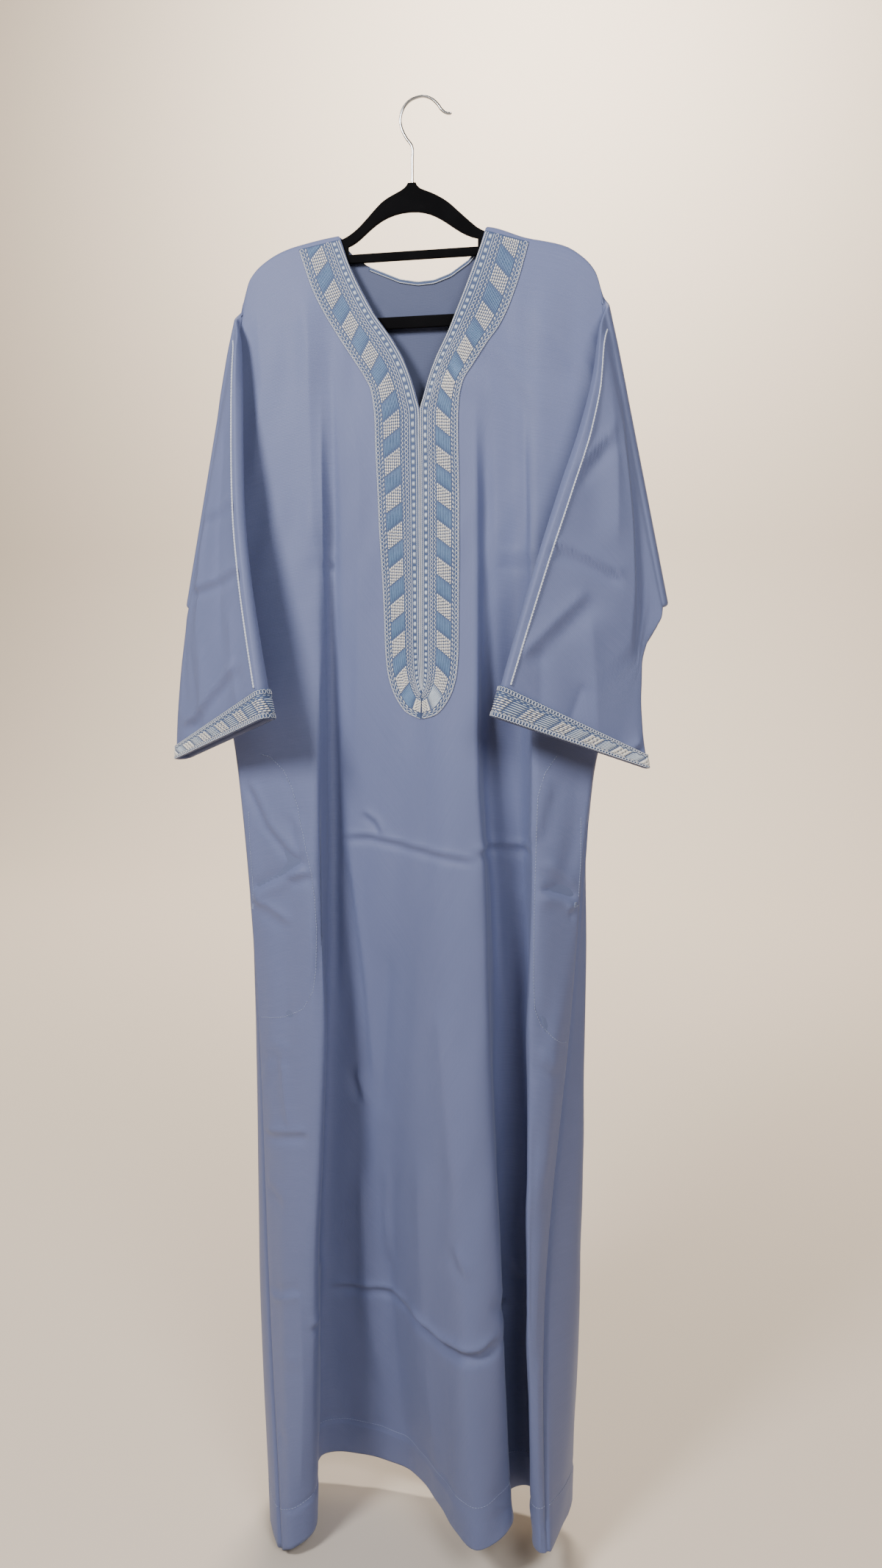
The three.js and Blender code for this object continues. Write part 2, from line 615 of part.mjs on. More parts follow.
// The outside of both panels as rows of points from the shoulder to the hem. Below the
// underarms the two panels share their side seams.
function panelGrids() {
  const front = shoulderRows(FRONT_SECTIONS, FRONT_COLUMNS, -1);
  const back = shoulderRows(BACK_SECTIONS, BACK_COLUMNS, 1);
  const hemLevel = FRONT_SECTIONS[FRONT_SECTIONS.length - 1].z;
  for (const z of [...LEVEL_ROWS, hemLevel]) {
    const asPoint = (p) => new THREE.Vector3(p.x, p.y, z === hemLevel ? p.hem : z);
    const frontRow = sectionRow(FRONT_SECTIONS, FRONT_COLUMNS, z, -1).map(asPoint);
    const backRow = sectionRow(BACK_SECTIONS, BACK_COLUMNS, z, 1).map(asPoint);
    if (z <= UNDERARM_Z) {
      shareSeam(frontRow, backRow, 0, 1);
      shareSeam(frontRow, backRow, frontRow.length - 1, frontRow.length - 2);
    }
    front.push(frontRow);
    back.push(backRow);
  }
  return { front, back };
}

// Puts the end points of two rows on either side of the middle of their seam.
function shareSeam(frontRow, backRow, frontEnd, frontLip) {
  const backEnd = frontEnd === 0 ? 0 : backRow.length - 1;
  const backLip = frontEnd === 0 ? 1 : backRow.length - 2;
  const seam = frontRow[frontEnd].clone().add(backRow[backEnd]).multiplyScalar(0.5);
  const along = new THREE.Vector3().subVectors(frontRow[frontLip], backRow[backLip]);
  along.z = 0;
  along.normalize();
  frontRow[frontEnd].copy(seam).addScaledVector(along, HALF_SEAM);
  backRow[backEnd].copy(seam).addScaledVector(along, -HALF_SEAM);
}

// Directions in which each point of a panel faces. A side seam faces the same way on both
// panels, and so does the top of the shoulder.
function panelNormals(grid, other, facing) {
  const capRows = CAP_ANGLES.length;
  return grid.map((row, r) => row.map((point, c) => {
    const last = row.length - 1;
    const otherRow = other[r];
    const seamed = r >= capRows && point.z <= UNDERARM_Z;
    let before = row[Math.max(c - 1, 0)];
    let after = row[Math.min(c + 1, last)];
    if (seamed && c === 0) {
      before = otherRow[1];
    }
    if (seamed && c === last) {
      after = otherRow[otherRow.length - 2];
    }
    const level = new THREE.Vector3(after.y - before.y, before.x - after.x, 0).normalize();
    level.multiplyScalar(-facing);
    if (r >= capRows) {
      return level;
    }
    const slope = (after.z - before.z) / (after.x - before.x);
    const up = new THREE.Vector3(-slope, 0, 1).normalize();
    const forward = new THREE.Vector3(0, facing, 0);
    return up.multiplyScalar(Math.cos(CAP_ANGLES[r]))
      .addScaledVector(forward, Math.sin(CAP_ANGLES[r]));
  }));
}

const panels = panelGrids();
const frontOutside = panels.front;
const frontNormals = panelNormals(panels.front, panels.back, -1);
const frontInside = movedGrid(frontOutside, frontNormals, -WALL);
const backOutside = panels.back;
const backNormals = panelNormals(panels.back, panels.front, 1);
const backInside = movedGrid(backOutside, backNormals, -WALL);

const frontCutter = uprightPrism([
  { x: FRONT_NECK[0].x, z: NECK_TOP_Z }, ...FRONT_NECK,
  { x: FRONT_NECK[FRONT_NECK.length - 1].x, z: NECK_TOP_Z },
], -NECK_CUT_FAR, NECK_CUT_NEAR);
const backCutter = uprightPrism([
  { x: BACK_NECK[0].x, z: NECK_TOP_Z }, ...BACK_NECK,
  { x: BACK_NECK[BACK_NECK.length - 1].x, z: NECK_TOP_Z },
], -NECK_CUT_NEAR, NECK_CUT_FAR);

const frontPanel = fromManifold(
  toManifold(sheetSolid(frontOutside, frontInside)).subtract(toManifold(frontCutter)));
const backPanel = fromManifold(
  toManifold(sheetSolid(backOutside, backInside)).subtract(toManifold(backCutter)));

// Depth of a grid of points above a place x, z, on its triangles.
function depthOn(grid, x, z, nearest) {
  let found = null;
  const test = (a, b, c) => {
    const det = (b.z - c.z) * (a.x - c.x) + (c.x - b.x) * (a.z - c.z);
    if (Math.abs(det) < 1e-9) {
      return;
    }
    const u = ((b.z - c.z) * (x - c.x) + (c.x - b.x) * (z - c.z)) / det;
    const v = ((c.z - a.z) * (x - c.x) + (a.x - c.x) * (z - c.z)) / det;
    const w = 1 - u - v;
    if (u < -1e-6 || v < -1e-6 || w < -1e-6) {
      return;
    }
    const y = u * a.y + v * b.y + w * c.y;
    if (found === null || nearest(y, found)) {
      found = y;
    }
  };
  for (let r = 0; r + 1 < grid.length; r += 1) {
    for (let c = 0; c + 1 < grid[0].length; c += 1) {
      test(grid[r][c], grid[r + 1][c], grid[r + 1][c + 1]);
      test(grid[r][c], grid[r + 1][c + 1], grid[r][c + 1]);
    }
  }
  return found;
}

const nearerTheViewer = (y, best) => y < best;

// The trimmings on the panels: the two halves of the embroidered band, the binding of the
// back neck and the pocket bags.

function neckBand(stations) {
  const lower = [];
  const upper = [];
  for (const { inner, outer } of stations) {
    const lowerRow = [];
    const upperRow = [];
    for (const { across, rise } of BAND_PROFILE) {
      const x = inner[0] + (outer[0] - inner[0]) * across;
      const z = inner[1] + (outer[1] - inner[1]) * across;
      const y = depthOn(frontOutside, x, z, nearerTheViewer) - LAY_GAP;
      lowerRow.push(new THREE.Vector3(x, y, z));
      upperRow.push(new THREE.Vector3(x, y - rise, z));
    }
    lower.push(lowerRow);
    upper.push(upperRow);
  }
  return sheetSolid(upper, lower);
}

function backNeckBinding() {
  const lower = [];
  const upper = [];
  const edge = BACK_NECK.slice(2, -2);
  edge.forEach((point, i) => {
    const before = edge[Math.max(i - 1, 0)];
    const after = edge[Math.min(i + 1, edge.length - 1)];
    const along = new THREE.Vector2(after.x - before.x, after.z - before.z).normalize();
    const down = new THREE.Vector2(along.y, -along.x);
    const rows = [BINDING_FROM_EDGE, BINDING_FROM_EDGE + BINDING_WIDTH].map((distance) => {
      const x = point.x + down.x * distance;
      const z = point.z + down.y * distance;
      const y = depthOn(backInside, x, z, nearerTheViewer) - LAY_GAP;
      return [x, y, z];
    });
    lower.push(rows.map(([x, y, z]) => new THREE.Vector3(x, y, z)));
    upper.push(rows.map(([x, y, z]) => new THREE.Vector3(x, y - BINDING_THICK, z)));
  });
  return sheetSolid(upper, lower);
}

// A flat bag behind the front panel, made from the panel's own points and cut to its outline.
function pocketBag(side, outline) {
  const firstLevel = frontOutside.length - 1 - LEVEL_ROWS.length;
  const from = firstLevel + LEVEL_ROWS.indexOf(POCKET_TOP_ROW);
  const to = firstLevel + LEVEL_ROWS.indexOf(POCKET_BOTTOM_ROW);
  const pick = (distance) => movedGrid(frontOutside, frontNormals, distance)
    .slice(from, to + 1)
    .map((row) => (side === 'left'
      ? row.slice(2, 2 + POCKET_COLUMNS)
      : row.slice(-2 - POCKET_COLUMNS, -2)));
  const sheet = sheetSolid(pick(-WALL - POCKET_GAP), pick(-WALL - POCKET_GAP - POCKET_BAG_WALL));
  const prism = uprightPrism(outline, POCKET_FRONT_Y, POCKET_BACK_Y);
  return fromManifold(toManifold(sheet).intersect(toManifold(prism)));
}

// The sleeves with their cuff bands and cords. Each sleeve leaves its armhole to the side and
// turns forward in a soft fold, so that it hangs before the body.

// One station of a sleeve: the line from its upper to its under edge and the way it faces.
function sleeveStations(tip, underarm, rows, side) {
  const armhole = new THREE.Vector3(underarm.x - tip.x, 0, underarm.z - tip.z).normalize();
  const outward = new THREE.Vector3(-armhole.z * side, 0, armhole.x * side);
  if (outward.x * side < 0) {
    outward.negate();
  }
  const stations = FOLD_ANGLES.map((degrees) => {
    const angle = THREE.MathUtils.degToRad(degrees);
    const shift = outward.clone().multiplyScalar(FOLD_PIVOT * Math.sin(angle) + HALF_SEAM);
    shift.y += -FOLD_PIVOT + FOLD_PIVOT * Math.cos(angle);
    const facing = outward.clone().multiplyScalar(Math.sin(angle));
    facing.y += Math.cos(angle);
    return {
      upper: new THREE.Vector3(tip.x, 0, tip.z).add(shift),
      under: new THREE.Vector3(underarm.x, 0, underarm.z).add(shift),
      facing,
      back: CAP_RADIUS,
      front: CAP_RADIUS + (degrees > 90 ? (degrees - 90) / 45 : 0),
      wing: CAP_RADIUS,
      fold: 0.3,
    };
  });
  const tableRows = rows.map((row) => ({
    ...row,
    upper: new THREE.Vector3(...row.upper),
    under: new THREE.Vector3(...row.under),
  }));
  const all = [...stations, ...tableRows];
  const middle = (k) => all[k].upper.clone().add(all[k].under).multiplyScalar(0.5);
  for (let k = stations.length; k < all.length; k += 1) {
    const ahead = middle(Math.min(k + 1, all.length - 1));
    const along = ahead.sub(middle(k - 1));
    const chord = new THREE.Vector3().subVectors(all[k].under, all[k].upper);
    const facing = new THREE.Vector3().crossVectors(along, chord).normalize();
    if (facing.y > 0) {
      facing.negate();
    }
    all[k].facing = facing;
  }
  return all;
}

// Places across a station: the viewer's layer from the upper to the under edge, then back.
function ringShares(fold) {
  const before = fold - FOLD_STEP_WIDTH;
  const after = fold + FOLD_STEP_WIDTH;
  const shares = [0, EDGE_FIRST, EDGE_SECOND];
  for (const k of [0.2, 0.4, 0.6, 0.8]) {
    shares.push(EDGE_SECOND + (before - EDGE_SECOND) * k);
  }
  shares.push(before, fold, after);
  for (const k of [0.35, 0.7]) {
    shares.push(after + (1 - EDGE_SECOND - after) * k);
  }
  shares.push(1 - EDGE_SECOND, 1 - EDGE_FIRST, 1);
  const layer = shares.map((share) => ({ share, side: 1 }));
  const wayBack = [1 - EDGE_FIRST, 1 - EDGE_SECOND, 0.8, 0.6, 0.4, 0.2, EDGE_SECOND, EDGE_FIRST];
  for (const share of wayBack) {
    layer.push({ share, side: -1 });
  }
  return layer;
}

function ringProfile(station) {
  const width = station.upper.distanceTo(station.under);
  return ringShares(station.fold).map(({ share, side }) => {
    const step = smoothStep((share - station.fold) / (2 * FOLD_STEP_WIDTH) + 0.5);
    const outerHalf = station.front + (station.wing - station.front) * step;
    const half = side > 0 ? outerHalf : station.back;
    const fromEdge = Math.min(share, 1 - share) * width;
    const radius = Math.min(SLEEVE_EDGE_RADIUS, half);
    const closeness = clamp(fromEdge / radius, 0, 1);
    const round = Math.sqrt(1 - (1 - closeness) ** 2);
    return new THREE.Vector2(share * width, side * half * round);
  });
}

// The outline of a station moved inward or outward by a distance.
function movedProfile(profile, distance) {
  const count = profile.length;
  return profile.map((point, i) => {
    const before = profile[(i + count - 1) % count];
    const after = profile[(i + 1) % count];
    const first = new THREE.Vector2().subVectors(point, before).normalize();
    const second = new THREE.Vector2().subVectors(after, point).normalize();
    const along = first.add(second).normalize();
    return new THREE.Vector2(point.x - along.y * distance, point.y + along.x * distance);
  });
}

function placedRing(station, profile) {
  const chord = new THREE.Vector3().subVectors(station.under, station.upper).normalize();
  return profile.map((p) => station.upper.clone()
    .addScaledVector(chord, p.x)
    .addScaledVector(station.facing, p.y));
}

function sleeveRings(stations, distance) {
  return stations.map((station) => (
    placedRing(station, movedProfile(ringProfile(station), distance))));
}

function mixedRings(first, second, share) {
  return first.map((point, i) => point.clone().lerp(second[i], share));
}

function cuffBand(stations) {
  const last = stations.length - 1;
  const length = stations[last].upper.distanceTo(stations[last - 1].upper);
  const ringAt = (up, distance) => {
    const rings = sleeveRings(stations.slice(last - 1), distance);
    return mixedRings(rings[1], rings[0], (up * CUFF_HEIGHT) / length);
  };
  const inside = CUFF_PROFILE.map(({ up }) => ringAt(up, CUFF_GAP));
  const outside = CUFF_PROFILE.map(({ up, rise }) => ringAt(up, CUFF_GAP + rise));
  return tubeSolid(outside, inside);
}

function sleeveCord(stations) {
  const first = FOLD_ANGLES.length - 1;
  const last = stations.length - 1;
  const points = [];
  for (let k = first; k <= last; k += 1) {
    const share = (k - first) / (last - first);
    const station = stations[k];
    const chord = new THREE.Vector3().subVectors(station.under, station.upper).normalize();
    const fromEdge = CORD_FROM_EDGE_TOP
      + (CORD_FROM_EDGE_CUFF - CORD_FROM_EDGE_TOP) * share;
    points.push(station.upper.clone()
      .addScaledVector(chord, fromEdge)
      .addScaledVector(station.facing, station.front + CORD_RADIUS + CORD_GAP));
  }
  const lastStep = points[last - first].distanceTo(points[last - first - 1]);
  const endShift = (CUFF_HEIGHT + CORD_END_GAP) / lastStep;
  points[last - first].lerp(points[last - first - 1], endShift);
  points[0].addScaledVector(stations[first].facing, CORD_START_LIFT);
  const path = new THREE.CurvePath();
  for (let k = 0; k + 1 < points.length; k += 1) {
    path.add(new THREE.LineCurve3(points[k], points[k + 1]));
  }
  const ring = new THREE.Shape();
  ring.absarc(0, 0, CORD_RADIUS, 0, Math.PI * 2);
  return new THREE.ExtrudeGeometry(ring, {
    steps: 34, curveSegments: 4, bevelEnabled: false, extrudePath: path,
  });
}

const leftStations = sleeveStations(LEFT_SHOULDER_TIP, LEFT_UNDERARM, LEFT_SLEEVE_ROWS, -1);
const rightStations = sleeveStations(RIGHT_SHOULDER_TIP, RIGHT_UNDERARM, RIGHT_SLEEVE_ROWS, 1);

function sleeve(stations) {
  return tubeSolid(sleeveRings(stations, 0), sleeveRings(stations, -WALL));
}

// The hanger: a flat body with two openings and a wire hook.

function hangerBody() {
  const armTop = (x) => shoulderHeight(x) - HANGER_DROP;
  const outline = new THREE.Shape();
  outline.moveTo(-17, -88);
  outline.bezierCurveTo(-21, -97, -34, -97, -48, -107);
  outline.bezierCurveTo(-66, -122, -76, -139, -100, -145);
  for (const x of [-120, -145, -163, -180, -192]) {
    outline.lineTo(x + 1, armTop(x));
  }
  outline.bezierCurveTo(-203, -184, -208, -198, -208, -218);
  outline.bezierCurveTo(-208, -232, -203, BAR_BOTTOM, -190, BAR_BOTTOM);
  outline.lineTo(180, BAR_BOTTOM);
  outline.bezierCurveTo(190, BAR_BOTTOM, 194, -236, 194, -224);
  outline.bezierCurveTo(194, -208, 189, -196, 178, -183);
  for (const x of [164, 150, 130, 112]) {
    outline.lineTo(x - 1, armTop(x));
  }
  outline.bezierCurveTo(92, -152, 76, -149, 62, -140);
  outline.bezierCurveTo(52, -132, 46, -126, 38, -119);
  outline.bezierCurveTo(22, -103, 4, -98, -2, -95);
  outline.bezierCurveTo(-5, -93, -7, -91, -8, -88);
  outline.closePath();

  const window = new THREE.Path();
  window.moveTo(-87, TIE_BAR_TOP);
  window.lineTo(-87, -152);
  window.bezierCurveTo(-66, -146, -56, -119, -14, -119);
  window.bezierCurveTo(22, -119, 34, -146, 63, -152);
  window.lineTo(63, TIE_BAR_TOP);
  window.closePath();

  const lowerWindow = new THREE.Path();
  lowerWindow.moveTo(-92, TIE_BAR_BOTTOM);
  lowerWindow.lineTo(-92, -160);
  lowerWindow.lineTo(-120, -162);
  lowerWindow.lineTo(-150, -167);
  lowerWindow.lineTo(-174, -178);
  lowerWindow.bezierCurveTo(-188, -188, -194, -198, -194, -212);
  lowerWindow.bezierCurveTo(-194, -224, -190, BAR_TOP, -180, BAR_TOP);
  lowerWindow.lineTo(170, BAR_TOP);
  lowerWindow.bezierCurveTo(178, BAR_TOP, 181, -226, 180, -218);
  lowerWindow.bezierCurveTo(178, -204, 171, -194, 158, -185);
  lowerWindow.lineTo(136, -176);
  lowerWindow.lineTo(110, -170);
  lowerWindow.lineTo(68, -160);
  lowerWindow.lineTo(68, TIE_BAR_BOTTOM);
  lowerWindow.closePath();
  outline.holes.push(window, lowerWindow);

  const geometry = new THREE.ExtrudeGeometry(outline, {
    depth: HANGER_THICK, bevelEnabled: false, curveSegments: 5, steps: 1,
  });
  geometry.rotateX(Math.PI / 2);
  geometry.translate(0, HANGER_THICK / 2, 0);
  return geometry;
}

function hangerHook() {
  const path = new THREE.CatmullRomCurve3(
    HOOK_PATH.map(([x, z]) => new THREE.Vector3(x, 0, z)), false, 'centripetal');
  const ring = new THREE.Shape();
  ring.absarc(0, 0, WIRE_RADIUS, 0, Math.PI * 2);
  return new THREE.ExtrudeGeometry(ring, {
    steps: 44, curveSegments: 5, bevelEnabled: false, extrudePath: path,
  });
}

// The whole garment on its hanger.

const thobe = new THREE.Group();
thobe.add(makeMesh('front_panel', frontPanel, CLOTH));
thobe.add(makeMesh('back_panel', backPanel, CLOTH));
thobe.add(makeMesh('sleeve_left', sleeve(leftStations), CLOTH));
thobe.add(makeMesh('sleeve_right', sleeve(rightStations), CLOTH));
thobe.add(makeMesh('neck_band_left', neckBand(LEFT_BAND), THREAD));
thobe.add(makeMesh('neck_band_right', neckBand(RIGHT_BAND), THREAD));
thobe.add(makeMesh('back_neck_binding', backNeckBinding(), SILVER));
thobe.add(makeMesh('cuff_band_left', cuffBand(leftStations), THREAD));
thobe.add(makeMesh('cuff_band_right', cuffBand(rightStations), THREAD));
thobe.add(makeMesh('sleeve_cord_left', sleeveCord(leftStations), SILVER));
thobe.add(makeMesh('sleeve_cord_right', sleeveCord(rightStations), SILVER));
thobe.add(makeMesh('pocket_bag_left', pocketBag('left', LEFT_POCKET), CLOTH));
thobe.add(makeMesh('pocket_bag_right', pocketBag('right', RIGHT_POCKET), CLOTH));
thobe.add(makeMesh('hanger_body', hangerBody(), FLOCK));
thobe.add(makeMesh('hanger_hook', hangerHook(), CHROME));

export default thobe;
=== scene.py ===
# %% [markdown]
# # A long blue thobe on a slim hanger
# The garment is a straight, floor-length robe of a smooth blue cloth. It hangs from a
# flocked hanger, its front pushed into three deep folds by its own weight, and a broad
# embroidered band runs down the open neck and the chest. This lesson makes it as its
# maker would: first the cloth of the front, back and sleeves, then the bands of stitches,
# the cords, the pockets and the hems, and last the hanger, the light and the camera.
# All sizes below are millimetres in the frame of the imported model, with +Z up, and they
# are turned into Blender's metres only when a mesh is made.

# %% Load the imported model
import math

import bpy
import numpy as np
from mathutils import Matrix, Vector
from mathutils.bvhtree import BVHTree


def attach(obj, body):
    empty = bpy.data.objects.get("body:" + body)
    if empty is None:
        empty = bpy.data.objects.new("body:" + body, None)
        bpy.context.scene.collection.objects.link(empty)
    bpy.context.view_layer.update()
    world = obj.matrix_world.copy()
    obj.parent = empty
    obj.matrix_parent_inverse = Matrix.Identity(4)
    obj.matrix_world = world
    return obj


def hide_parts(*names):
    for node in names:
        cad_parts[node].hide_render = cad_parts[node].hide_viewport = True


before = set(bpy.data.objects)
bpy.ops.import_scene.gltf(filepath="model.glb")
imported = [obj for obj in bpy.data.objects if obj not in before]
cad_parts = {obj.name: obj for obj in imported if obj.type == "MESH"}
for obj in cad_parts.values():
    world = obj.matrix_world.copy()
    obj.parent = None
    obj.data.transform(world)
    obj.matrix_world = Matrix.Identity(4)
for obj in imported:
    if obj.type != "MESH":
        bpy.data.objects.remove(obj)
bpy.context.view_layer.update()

# %% [markdown]
# ## Where the photograph was taken from
# The camera stands a good metre in front of the chest, a little to the right, turned to
# the left and tilted down. It could be found by trial, but here it was worked out from
# places that can be recognised on the hanger and the hem. It comes first, so that every
# later step can be looked at through it.

# %% Camera
PICTURE_HEIGHT = 2133  # pixels
FOCAL_PIXELS = 1540
FILM_HEIGHT = 36.0

lens = bpy.data.cameras.new("camera")
lens.sensor_fit = "VERTICAL"
lens.sensor_height = FILM_HEIGHT
lens.lens = FILM_HEIGHT * FOCAL_PIXELS / PICTURE_HEIGHT
camera = bpy.data.objects.new("camera", lens)
camera.location = (0.28677, -1.319, -0.58189)
camera.rotation_euler = (math.radians(90 - 7.9), 0, math.radians(11.4))
bpy.context.scene.collection.objects.link(camera)
bpy.context.scene.camera = camera
print("focal length", round(lens.lens, 2), "mm")

# %% [markdown]
# ## The lines of the garment
# A pattern cutter would describe the hanging robe by a few upright lines: the side seams,
# the noses of the folds, the hollows between them. Each line below is a list of x, y
# places at the same falling heights, and smooth curves are drawn through them. The cloth
# could also be dropped by a simulation, but the folds of a robe that has hung for weeks
# are fixed and uneven, so they are listed.

# %% Lines of the front, back, neck, bands and sleeves

# The outline of the shoulders: x, z.
SHOULDER_LINE = [
    (-214, -205), (-205, -179), (-188, -163), (-166, -152), (-148, -147), (-97, -139), (-12, -134),
    (73, -140), (119, -155), (141, -160), (161, -166), (182, -180), (195, -196), (201, -214),
]

# Heights at which the lines below give their x, y, and how far the cloth has rolled
# into the side seams there.
LEVELS = [-240, -400, -550, -560, -660, -760, -1050, -1380, -1700]
TURN = [0, 0, 0, 1, 1, 1, 0.3, 0, 0]

FRONT_LINES = {
    "left_edge": [(-222, -4.4), (-255, -4.4), (-287, -4.4), (-289, -0.2), (-252, -3), (-234, -8),
        (-209, -30), (-188, -70), (-154, -138)],
    "left_flank": [(-196, -8), (-222, -10), (-226, -13), (-226, -13), (-228, -15), (-218, -18),
        (-165, -58), (-154, -96), (-136, -136)],
    "left_fold": [(-138, -10), (-134, -15), (-126, -23), (-126, -24), (-121, -32), (-116, -42),
        (-108, -72), (-116, -98), (-116, -115)],
    "hollow": [(-112, -9.5), (-112, -11), (-115, -10), (-115, -10), (-117, -10), (-117, -10), (-119, -14),
        (-131, -16), (-136, -18)],
    "middle": [(-63, -11), (-64, -13), (-61, -14), (-61, -14), (-58, -16), (-56, -18), (-57, -24),
        (-46, -26), (-19, -24)],
    "crest": [(20, -13), (25, -19), (30, -31), (30, -32), (34, -43), (38, -55), (52, -85), (75, -120),
        (94, -145)],
    "crest_edge": [(55, -12.5), (64, -17), (69, -27), (69, -28), (71, -40), (74, -52), (90, -78),
        (112, -102), (129, -112)],
    "deep_left": [(74, -11.5), (84, -14), (88, -16), (88, -16), (86, -20), (84, -22), (92, -28),
        (104, -34), (116, -40)],
    "deep_right": [(94, -11), (104, -13), (110, -12), (110, -12), (114, -14), (116, -16), (126, -18),
        (134, -20), (142, -22)],
    "right_fold": [(118, -12), (125, -19), (130, -29), (130, -30), (133, -38), (136, -46), (140, -75),
        (145, -105), (157, -122)],
    "right_flank": [(182, -8), (199, -10), (202, -13), (202, -13), (198, -16), (186, -20), (166, -64),
        (156, -101), (166, -136)],
    "right_edge": [(207, -4.4), (242, -4.4), (275, -4.4), (277, -0.2), (228, -3), (204, -8), (185, -35),
        (165, -84), (177, -137)],
}

BACK_LINES = {
    "left_edge": [(-222, 4.4), (-255, 4.4), (-287, 4.4), (-289, 0.2), (-252, -2.6), (-234, -7.6),
        (-209, -29.7), (-188.3, -69.8), (-154.4, -137.8)],
    "left_side": [(-206, 5.5), (-238, 5.5), (-262, 5.5), (-264, 5.5), (-236, 4), (-222, 0), (-215, -15),
        (-206, -46), (-177, -104)],
    "left_corner": [(-150, 8), (-170, 8), (-190, 9), (-190, 9), (-190, 9), (-185, 7), (-196, 3),
        (-200, -4), (-190, -14)],
    "middle": [(-8, 9), (-8, 10), (-8, 11), (-8, 11), (-8, 12), (-8, 12), (-8, 13), (-8, 13), (-8, 12)],
    "right_corner": [(140, 8), (158, 8), (175, 9), (175, 9), (175, 9), (165, 7), (180, 2), (190, -2),
        (188, -14)],
    "right_side": [(191, 5.5), (225, 5.5), (250, 5.5), (252, 5.5), (212, 4), (194, 0), (199, -12),
        (198, -42), (186, -88)],
    "right_edge": [(207, 4.4), (242, 4.4), (275, 4.4), (277, 0.2), (228, -2.6), (204, -7.6), (185, -34.7),
        (165.3, -83.8), (177.3, -136.7)],
}

# The height of the hem below each line of a section, in the order of the section.
FRONT_HEM = {
    "left_edge": -1703, "left_lip": -1703, "left_cheek": -1702, "left_flank": -1698, "left_fold": -1688,
    "hollow": -1664, "middle": -1660, "crest": -1652, "crest_edge": -1640, "deep_left": -1656,
    "deep_right": -1662, "right_fold": -1652, "right_flank": -1650, "right_cheek": -1650,
    "right_lip": -1650, "right_edge": -1650,
}
BACK_HEM = {
    "left_edge": -1703, "left_lip": -1703, "left_cheek": -1702, "left_side": -1694, "left_corner": -1676,
    "middle": -1668, "right_corner": -1664, "right_side": -1654, "right_cheek": -1651, "right_lip": -1650,
    "right_edge": -1650,
}

# Edges of the neck and of the pocket bags: x, z.
FRONT_NECK = [
    (-97, -139), (-86, -170), (-72, -198), (-54, -230), (-33, -258), (-21, -278), (-11, -302), (-5, -321),
    (-0.6, -338), (4, -319), (10, -300), (19, -278), (31, -255), (42, -229), (56, -191), (66, -164),
    (73, -140),
]
BACK_NECK = [
    (-97, -139), (-86, -157), (-66, -172), (-47, -180), (-28, -188), (-7, -192), (12, -191), (31, -185),
    (52, -172), (66, -157), (73, -140),
]
LEFT_POCKET = [
    (-260, -752), (-200, -750), (-176, -757), (-152, -798), (-132, -850), (-122, -905), (-119, -955),
    (-121, -1005), (-135, -1041), (-165, -1060), (-260, -1070),
]
RIGHT_POCKET = [
    (240, -735), (190, -738), (168, -750), (153, -785), (147, -830), (145, -900), (146, -975),
    (150, -1020), (160, -1050), (176, -1068), (240, -1064),
]

# Bands, from the shoulder to the tip: x, z of the inner edge, then of the outer one.
LEFT_BAND = [
    (-96.4, -144.6, -145, -152.6), (-90, -160, -138, -172), (-82, -179, -129, -196),
    (-69, -205, -116, -222), (-54, -230.5, -100, -248), (-36, -255, -82, -275), (-21.5, -279, -67, -297),
    (-11.5, -303, -59, -313), (-5.5, -323, -56, -330), (-1.2, -340, -54.5, -347), (-0.6, -370, -54, -372),
    (0.1, -412, -52, -412), (0.8, -455, -50, -455), (1.5, -498, -47.5, -498), (2.2, -540, -45, -540),
    (2.8, -575, -43.5, -576), (3.4, -607, -42, -609), (3.8, -622, -39.5, -632), (4.2, -634, -34, -652),
    (4.5, -642, -25, -669), (4.8, -648, -13, -682), (5.1, -652, 4.4, -688),
]
RIGHT_BAND = [
    (72.4, -145.6, 121, -160.6), (67, -161, 117, -177), (60.5, -180, 112, -196), (50, -208, 103, -222),
    (41, -230.5, 91, -246), (30.5, -256, 74, -270), (19, -279, 60, -290), (10.5, -300, 49.5, -307),
    (4.5, -320, 45, -326), (-0.6, -340, 44, -347), (-0.2, -370, 44.4, -372), (0.5, -412, 45.8, -412),
    (1.2, -455, 47, -455), (1.9, -498, 47.6, -498), (2.6, -540, 48, -540), (3.2, -575, 48.6, -576),
    (3.8, -607, 49, -609), (4.2, -622, 48, -632), (4.6, -634, 44, -652), (4.9, -642, 36, -669),
    (5.2, -648, 24, -682), (5.5, -652, 6.2, -688),
]

